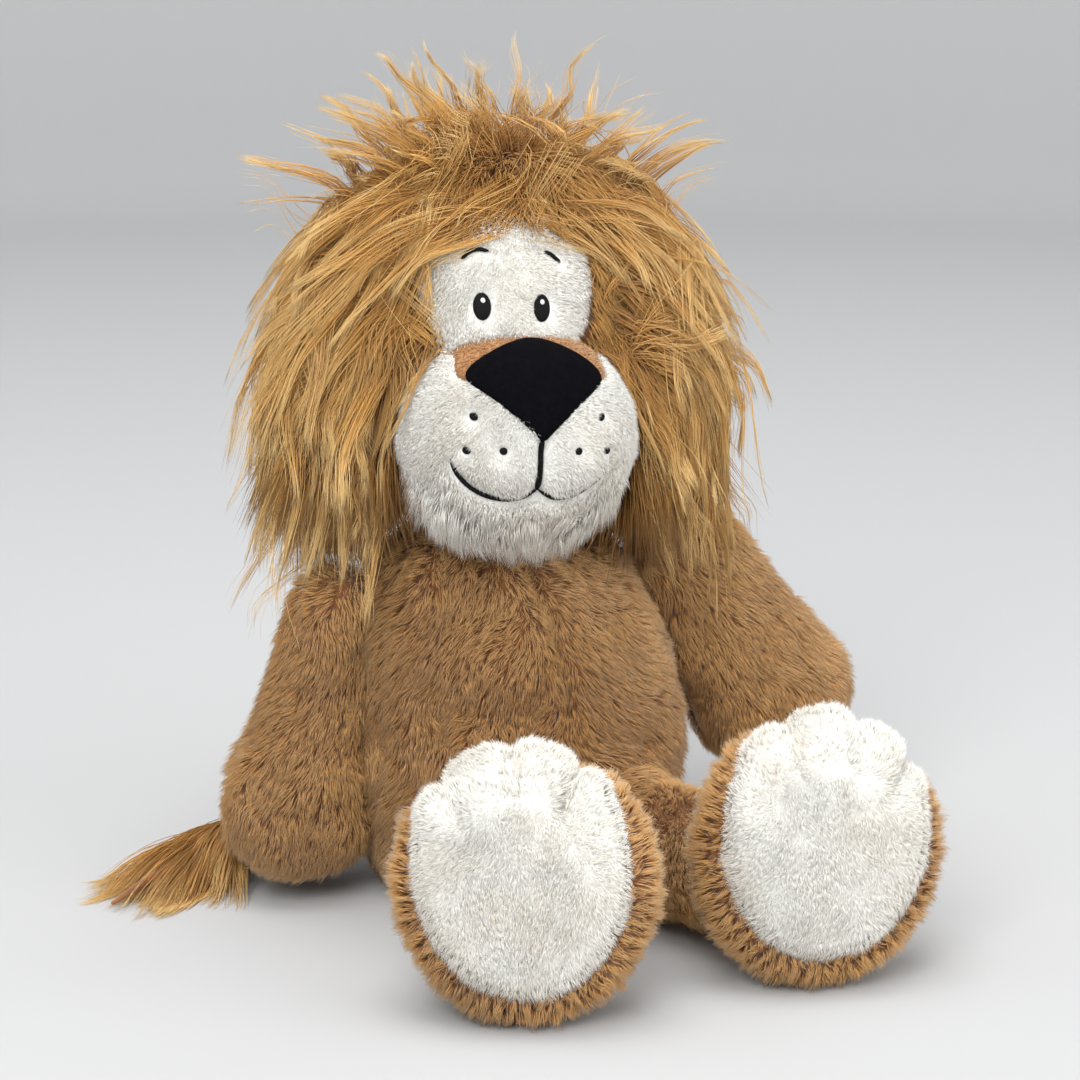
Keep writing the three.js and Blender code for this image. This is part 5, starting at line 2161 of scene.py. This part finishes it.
@dataclass
class Tail:
    """The thin tail behind the body, with its tuft. Plain lengths are millimetres."""

    root_radius: float = 9 * MM
    radius: float = 8 * MM
    route: tuple = ((0, 52, 11), (-44.8, 71, 11), (-84, 62, 11), (-112, 53, 11))
    tuft_route: tuple = ((-104, 56, 11), (-124, 46, 11), (-150, 30, 8), (-174, 13, 4))
    hairs: int = 3600
    steps: int = 9
    clump: int = 14
    width: float = 0.36 * MM
    thinning: float = 0.6
    core_radius: float = 8 * MM
    root_circle: float = 7.5 * MM
    shortest: float = 40.0
    longest: float = 76.0

    def build(self) -> None:
        """Builds the tail's cover, filling, pile and tuft."""
        line = smooth_line(np.array(self.route) * MM, 40)
        share = np.linspace(0, 1, len(line))
        radii = mix(self.root_radius, self.radius, share)
        ends = np.clip(np.minimum(share, 1 - share) / 0.06, 0.05, 1) ** 0.5
        outer = capped(tube(line, radii * ends, 24))
        cover = piece("tail_plush", outer, "tail", BROWN_BACKING, "tail_cover")
        inner = capped(tube(line, (radii - COVER_THICKNESS) * ends, 24))
        piece("tail_stuffing", inner, "tail", STUFFING, "tail_filling")
        BODY_PILE.sow(
            "tail_pile", Skin.of(cover), 501,
            lambda points, out: np.broadcast_to([-1.0, -0.2, -0.2], points.shape),
            lambda points, out: points[:, 2] > 1.5 * MM, "tail", BROWN_PILE,
        )
        self._tuft()

    def _tuft(self) -> None:
        """Builds the tuft: long hairs that spread on the floor."""
        rng = np.random.default_rng(505)
        core = smooth_line(np.array(self.tuft_route) * MM, 24)
        along = np.linspace(0, 1, len(core))
        sizes = self.core_radius * np.interp(along, [0, 0.2, 0.5, 1], [0.8, 1.0, 0.4, 0.1])
        base = capped(tube(core, sizes, 20))
        piece("tail_tuft_base", base, "tail", MANE_BACKING, "tail_tuft")
        share = rng.uniform(0, 0.45, self.hairs) ** 1.2
        start = np.stack([np.interp(share, along, core[:, i]) for i in range(3)], 1)
        ahead = unit(core[-1] - core[0])
        around = rng.uniform(0, TURN, self.hairs)
        side = unit(np.cross(ahead, [0, 0, 1.0]))
        up = np.cross(side, ahead)
        out = np.cos(around)[:, None] * side + np.sin(around)[:, None] * up
        start = start + out * (self.root_circle * (1 - share))[:, None]
        length = rng.uniform(self.shortest, self.longest, self.hairs) * MM * (1 - 0.35 * share)
        noise = Noise(507)
        way = ahead + 0.42 * out * rng.uniform(0.2, 1, (self.hairs, 1))
        way = unit(way + 0.3 * noise.at(start, 12 * MM))
        places = [start]
        at = start
        for _ in range(self.steps):
            at = at + way * (length / self.steps)[:, None]
            at[:, 2] = np.maximum(at[:, 2], 0.8 * MM)
            places.append(at.copy())
            way = way + 0.12 * noise.at(at, 20 * MM)
            way[:, 2] -= 0.1
            way = unit(way)
        paths = np.stack(places, 1)
        clumps = nearest(start, rng.permutation(self.hairs)[:: self.clump])
        along = np.linspace(0, 1, self.steps + 1)[None, :, None]
        hold = rng.uniform(0.3, 0.9, (self.hairs, 1, 1)) * smooth(along, 0.1, 0.9)
        spread = (start - start[clumps])[:, None] * (1 - along)
        paths = mix(paths, paths[clumps] + spread, hold)
        paths[..., 2] = np.maximum(paths[..., 2], 0.6 * MM)
        widths = hair_widths(self.width, self.thinning, (self.hairs, self.steps), rng)
        shades = hair_shades(clumps, 0.5, 0.12, 0.2, rng)
        settle_strands("tail_hair", "tail", MANE_HAIR, paths, widths, shades)


def tube(line: Array, radii: Array, sides: int) -> Array:
    """Makes a round tube along a line that never runs straight up.

    Args:
        line: The line's points, one row each.
        radii: The tube's radius at each of them.
        sides: How many points a ring has.

    Returns:
        The tube's points as rings, sides, xyz.
    """
    along = unit(np.gradient(line, axis=0))
    side = unit(np.cross([0, 0, 1.0], along))
    up = np.cross(along, side)
    angles = np.arange(sides) * TURN / sides
    reach = np.cos(angles)[:, None] * side[:, None] + np.sin(angles)[:, None] * up[:, None]
    return line[:, None] + radii[:, None, None] * reach


# The studio


@dataclass(frozen=True)
class Lamp:
    """A square soft light, with its place in metres and its power in watts."""

    name: str
    place: Place
    size: float
    power: float


@dataclass
class Studio:
    """The pale floor, the soft lights and the camera."""

    eye: Place = (-0.3812, -1.0511, 0.427)
    down_degrees: float = 14.0
    turn_degrees: float = -20.5
    lens: float = 91.0
    sensor: float = 36.0
    backdrop: tuple = ((0, 0), (1.6, 0), (2.4, 0.02), (3.0, 0.35), (3.2, 1.2), (3.2, 3.2))
    floor_grey: int = 186
    lamps: tuple[Lamp, ...] = (
        Lamp("key_light", (-1.5, -1.9, 2.1), 1.8, 68),
        Lamp("fill_light", (1.7, -1.9, 0.7), 1.8, 36),
        Lamp("top_light", (-0.2, -0.2, 2.6), 1.6, 38),
    )
    aim: Place = (0, 0, 0.14)
    sky_color: tuple[float, float, float, float] = (0.95, 0.97, 1.0, 1)
    sky_power: float = 0.95

    def build(self) -> None:
        """Builds the camera, the floor, the backdrop and the lights."""
        scene = bpy.context.scene
        scene.view_settings.view_transform = "Standard"
        data = bpy.data.cameras.new("camera")
        data.lens = self.lens
        data.sensor_width = self.sensor
        camera = linked("camera", data)
        camera.location = self.eye
        camera.rotation_euler = (
            math.radians(90 - self.down_degrees), 0, math.radians(self.turn_degrees)
        )
        scene.camera = camera
        self._ground()
        self._lamps()

    def _ground(self) -> None:
        """Builds a floor that curves up into a backdrop all round."""
        levels, sides = 60, 96
        radii, heights = Outline(self.backdrop).along(np.linspace(0, 1, levels), 1, 1)
        angles = np.arange(sides) * TURN / sides
        rings = np.stack([
            radii[:, None] * np.cos(angles), radii[:, None] * np.sin(angles),
            np.repeat(heights[:, None], sides, 1),
        ], -1)
        faces = np.concatenate([ring_faces(i * sides, sides) for i in range(levels - 1)])
        floor = build_mesh("floor", rings.reshape(-1, 3), faces[:, [0, 3, 2, 1]])
        shader = Shader("pale_floor")
        shader.set(
            Base_Color=linear(*[self.floor_grey] * 3), Roughness=0.95, Specular_IOR_Level=0.1
        )
        floor.data.materials.append(shader.material)

    def _lamps(self) -> None:
        """Builds a large soft key light, a fill light, a top light and an even sky."""
        for lamp in self.lamps:
            data = bpy.data.lights.new(lamp.name, "AREA")
            data.size = lamp.size
            data.energy = lamp.power
            item = linked(lamp.name, data)
            item.location = lamp.place
            way = Vector(self.aim) - Vector(lamp.place)
            item.rotation_euler = way.to_track_quat("-Z", "Y").to_euler()
        world = bpy.data.worlds.new("sky")
        world.use_nodes = True
        background = world.node_tree.nodes["Background"]
        background.inputs["Color"].default_value = self.sky_color
        background.inputs["Strength"].default_value = self.sky_power
        bpy.context.scene.world = world


def main() -> None:
    """Builds the lion and its studio, one sub-assembly after another."""
    logging.basicConfig(level=logging.INFO, format="%(message)s")
    Studio().build()
    torso, head, mane = Torso(), Head(), Mane()
    arms = [
        Arm(Side.RIGHT, 0.0, 1.0, 30.5 * MM),
        Arm(Side.LEFT, 23.0, 1.45, 45 * MM, 10 * MM),
    ]
    legs = [
        Leg(Side.RIGHT, 8.0, -16.0, -10.0, 6 * MM, (-32.0, 3.0, 36.0)),
        Leg(Side.LEFT, 22.0, -32.0, 12.0, 17 * MM, (-26.0, 8.0, 38.0)),
    ]
    torso.build([leg.leg_form() for leg in legs])
    Neck().build()
    ball = head.build()
    for arm in arms:
        arm.build([torso.form])
    for leg in legs:
        leg.build([torso.form])
    rests = [(head.muzzle, 3 * MM), (torso.form, 3 * MM), *((arm.form(), 3 * MM) for arm in arms)]
    mane.build(head.form, ball, rests)
    Tail().build()


if __name__ == "__main__":
    main()
